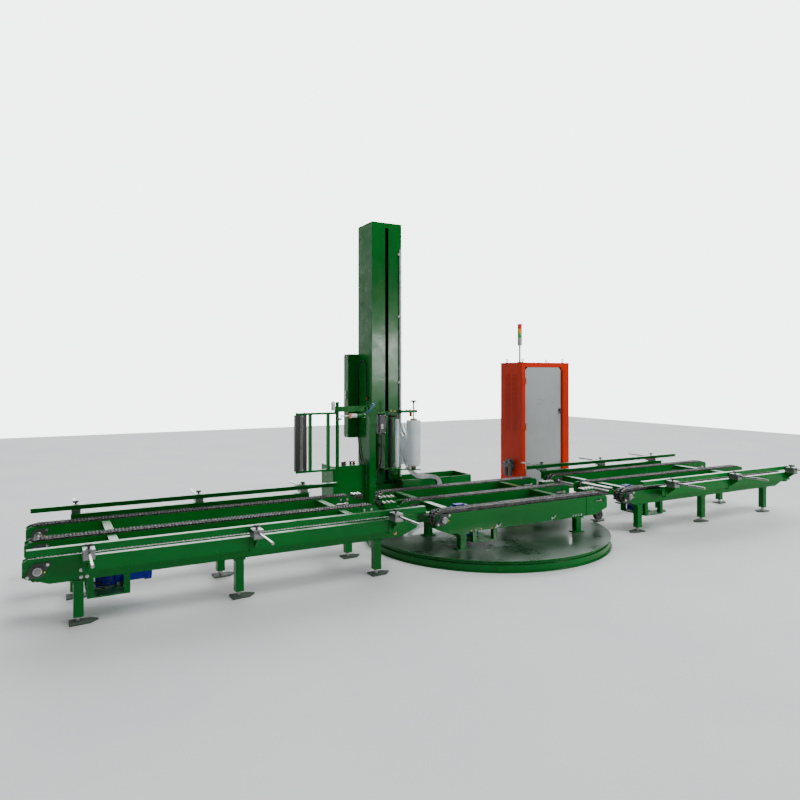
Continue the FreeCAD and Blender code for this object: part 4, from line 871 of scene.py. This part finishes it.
def take_up(build, stub_x, y, side, reach=0.11):
    """Threaded rod that shifts the stub shaft, with its nuts, on a strand's face."""
    rod_r, nut_r, nut_thick = 0.005, 0.0095, 0.009
    face = y + side * (STRAND_HALF + 0.012)
    start = stub_x - reach
    build.turned((start, face, CHAIN_AXIS_Z), X_AXIS, ((0, rod_r), (reach, rod_r)), 12, BRIGHT)
    for along in (0.018, 0.036, reach - 0.03):
        build.turned((start + along, face, CHAIN_AXIS_Z), X_AXIS,
                     ((0, nut_r), (nut_thick, nut_r)), 6, BRIGHT)
    build.turned((stub_x, y + side * (STRAND_HALF + 0.006), CHAIN_AXIS_Z), (0, side, 0),
                 ((0, 0.017), (0.005, 0.017), (0.0052, 0.0115), (0.012, 0.0115), (0.014, 0.009)),
                 18, BRIGHT)


def face_bolts(build, spots, face, way, across, height, slot):
    """A bolt at each (x, z) spot on a strand's face."""
    for x, z in spots:
        build.bolt((x, face, z), way, across, height, slot)


def strand_fittings():
    """Bearing ends, take-ups, nuts and lifting hooks of the three chain conveyors."""
    fixed = Build()
    turning = Build()
    for shaft, idlers, build in (
        ("infeed_drive_shaft", "infeed_idlers", fixed),
        ("outfeed_drive_shaft", "outfeed_idlers", fixed),
        ("table_drive_shaft", "table_idlers", turning),
    ):
        bearing_fittings(build, middle_x(shaft))
        for y in STRANDS:
            for side in (-1, 1):
                plain = build is turning and y == NEAR_STRAND and side < 0
                if not plain:
                    take_up(build, middle_x(idlers), y, side)

    near = NEAR_STRAND - STRAND_HALF
    hook_z = 0.262
    for x in (-0.30, 0.335):
        face_bolts(turning, ((x, hook_z),), near, FRONT, 0.017, 0.008, BRIGHT)
        turning.turned((x + 0.012, near - 0.010, hook_z), (1, 0, 0.9),
                       ((0, 0.005), (0.034, 0.005), (0.036, 0.003)), 10, BRIGHT)
    left_row = [(x, 0.250) for x in (-0.58, -0.53, -0.475, -0.36, -0.32)]
    face_bolts(turning, left_row, near, FRONT, 0.011, 0.005, RED)
    right_row = [(x, 0.258) for x in (0.595, 0.63, 0.665, 0.70)]
    face_bolts(turning, right_row, near - 0.0015, FRONT, 0.013, 0.006, BRIGHT)
    joint_spots = ((-1.330, 0.395), (-1.235, 0.400), (-1.330, 0.315))
    face_bolts(fixed, joint_spots, near, FRONT, 0.020, 0.010, RED)
    motor_spots = [(x, z) for x in (-3.625, -3.590) for z in (0.300, 0.345)]
    face_bolts(fixed, motor_spots, near, FRONT, 0.016, 0.008, BRIGHT)
    for y in STRANDS:
        for spot in ((-1.36, 0.412), (-1.29, 0.412)):
            face_bolts(fixed, (spot,), y + STRAND_HALF, REAR, 0.016, 0.008, BRIGHT)
            if y != NEAR_STRAND:
                face_bolts(fixed, (spot,), y - STRAND_HALF, FRONT, 0.016, 0.008, BRIGHT)
    return fixed, turning


def mast_fittings(build):
    """Switch box screws and label, push buttons on the drive box and the cable's plug."""
    lo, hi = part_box("mast_switch_box")
    for z in (lo.z + 0.03, hi.z - 0.03):
        for y in (lo.y + 0.03, hi.y - 0.03):
            build.bolt((lo.x + 0.0095, y, z), LEFT, 0.010, 0.004, BRIGHT)
    build.block((lo.x + 0.0022, lo.y + 0.055, 1.30), (lo.x + 0.0142, lo.y + 0.085, 1.40),
                0.002, PALE)
    drive_box_top = 0.575
    for x, colour in ((-0.80, RUST), (-0.73, BLACK), (-0.69, RUST)):
        build.turned((x, 1.62, drive_box_top), Z_AXIS,
                     ((0, 0.016), (0.010, 0.016), (0.012, 0.011), (0.020, 0.011),
                      (0.022, 0.018), (0.034, 0.018)), 16, colour)
    build.block((-0.86, 1.56, drive_box_top), (-0.82, 1.60, drive_box_top + 0.037), 0.003, BLACK)
    build.turned((-0.407, 1.867, 1.33), Z_AXIS,
                 ((-0.034, 0.0125), (-0.006, 0.0125), (0, 0.0115)), 16, RUST)


def cabinet_fittings(build):
    """Lamps and switches on the door, the strip beside it and the side's rows of vents."""
    door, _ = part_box("cabinet_door")
    for x, z in ((1.93, 1.28), (1.98, 1.265), (2.01, 1.27), (1.90, 1.215), (1.935, 1.22),
                 (1.98, 1.235), (2.01, 1.225), (2.15, 1.23)):
        build.turned((x, door.y + 0.0056, z), FRONT, ((0, 0.005), (0.0014, 0.005), (0.002, 0.003)),
                     12, BLACK)
    shell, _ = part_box("cabinet_shell")
    front_face = shell.y + 0.004
    build.block((2.3115, front_face - 0.006, 0.15), (2.336, front_face - 0.0042, 1.673),
                0.0004, SHADE)
    vent_rows, vent_step, vent_long, vent_tall = 46, 0.0165, 0.11, 0.004
    for row in range(vent_rows):
        z = 0.86 + row * vent_step
        for y in (1.545, 1.685):
            build.block((shell.x - 0.0008, y, z), (shell.x + 0.0002, y + vent_long, z + vent_tall),
                        0.0002, SHADE)


def carriage_fittings(build):
    """Motor box screws, plug and glands, tensioner parts and the roll's top bar."""
    lo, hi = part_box("carriage_motor")
    for x in (lo.x + 0.014, hi.x - 0.027):
        for z in (lo.z + 0.032, hi.z - 0.016):
            build.turned((x, lo.y, z), FRONT, ((0, 0.0055), (0.002, 0.0055), (0.003, 0.004)),
                         12, BRIGHT)
    build.block((lo.x + 0.028, lo.y - 0.0022, 0.985), (lo.x + 0.052, lo.y + 0.001, 1.04),
                0.0006, PALE)

    bar_top = 1.182
    build.block((-0.352, 1.376, bar_top - 0.016), (-0.015, 1.394, bar_top), 0.002, BLACK)
    for x in (-0.33, -0.28, -0.21):
        build.bolt((x, 1.385, bar_top), Z_AXIS, 0.016, 0.009, YELLOW)
    post_x, post_front = -0.250, 1.540
    build.block((post_x - 0.018, post_front, 0.5172), (post_x + 0.018, 1.562, 1.1528), 0.002, BLACK)
    build.block((post_x - 0.014, 1.529, 0.800), (post_x + 0.014, 1.541, 0.920), 0.002, RUST)
    for z in (0.70, 0.99, 1.05):
        build.bolt((post_x, post_front, z), FRONT, 0.014, 0.007, YELLOW)
    build.block((-0.105, 1.309, 1.120), (-0.088, 1.351, 1.1645), 0.002, RUST)
    for x in (-0.150, -0.108):
        build.bolt((x, 1.33, 1.195), Z_AXIS, 0.014, 0.007, BRIGHT)


def wiper_fittings(fixed, swinging):
    """Air block and elbows beside the pivot, caps and screws of the swinging frame."""
    lo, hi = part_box("wiper_brush")
    for x in (lo.x + 0.021, hi.x - 0.019):
        for z, out in ((lo.z - 0.0245, -1), (hi.z + 0.0245, 1)):
            swinging.bolt((x, 1.45, z), (0, 0, out), 0.013, 0.006, PALE)
    for z in (0.575, 1.153):
        swinging.block((-1.398, 1.436, z - 0.010), (-1.352, 1.4379, z + 0.010), 0.0005, PALE)

    block_top = 1.300
    fixed.block((-1.035, 1.428, 1.205), (-1.0015, 1.472, block_top), 0.004, PALE)
    fixed.turned((-1.018, 1.45, block_top), Z_AXIS, ((0, 0.008), (0.012, 0.008), (0.014, 0.005)),
                 12, BLACK)
    cylinder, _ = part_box("wiper_cylinder")
    port_x = -0.684
    fixed.turned((port_x, cylinder.y, 1.166), FRONT,
                 ((0, 0.0095), (0.014, 0.0095), (0.016, 0.0075)), 12, PALE)
    for x in (-0.845, port_x):
        for z in (1.1285, 1.1675):
            fixed.turned((x, cylinder.y, z), FRONT, ((0, 0.004), (0.002, 0.004), (0.003, 0.003)),
                         8, BRIGHT)


def add_fittings():
    """One piece of small fittings for each body that carries some."""
    materials = fitting_materials()
    fixed, turning = strand_fittings()
    mast_fittings(fixed)
    cabinet_fittings(fixed)
    carried = Build()
    carriage_fittings(carried)
    swinging = Build()
    wiper_fittings(fixed, swinging)
    fixed.make("frame_fittings", "frame", materials)
    turning.make("table_fittings", "turntable", materials)
    carried.make("carriage_fittings", "carriage", materials)
    swinging.make("wiper_fittings", "wiper", materials)


# ------------------------------------------------------------------ floor and sizes
def add_floor():
    """Staged floor just under the feet, wide enough to fill the view."""
    half = 14.0
    floor = Build()
    corners = [(-half, -half, 0), (half, -half, 0), (half, half, 0), (-half, half, 0)]
    floor.add(corners, [(0, 1, 2, 3)])
    piece = floor.make("floor", None, [finished("floor", floor_look)], 0)
    piece.location = (0, 0, cad_box[0][2] - 0.0005)


add_camera()
add_cords()
add_studio()
add_floor()
finish_simple()
finish_masked()
add_chains()
add_film()
add_fittings()
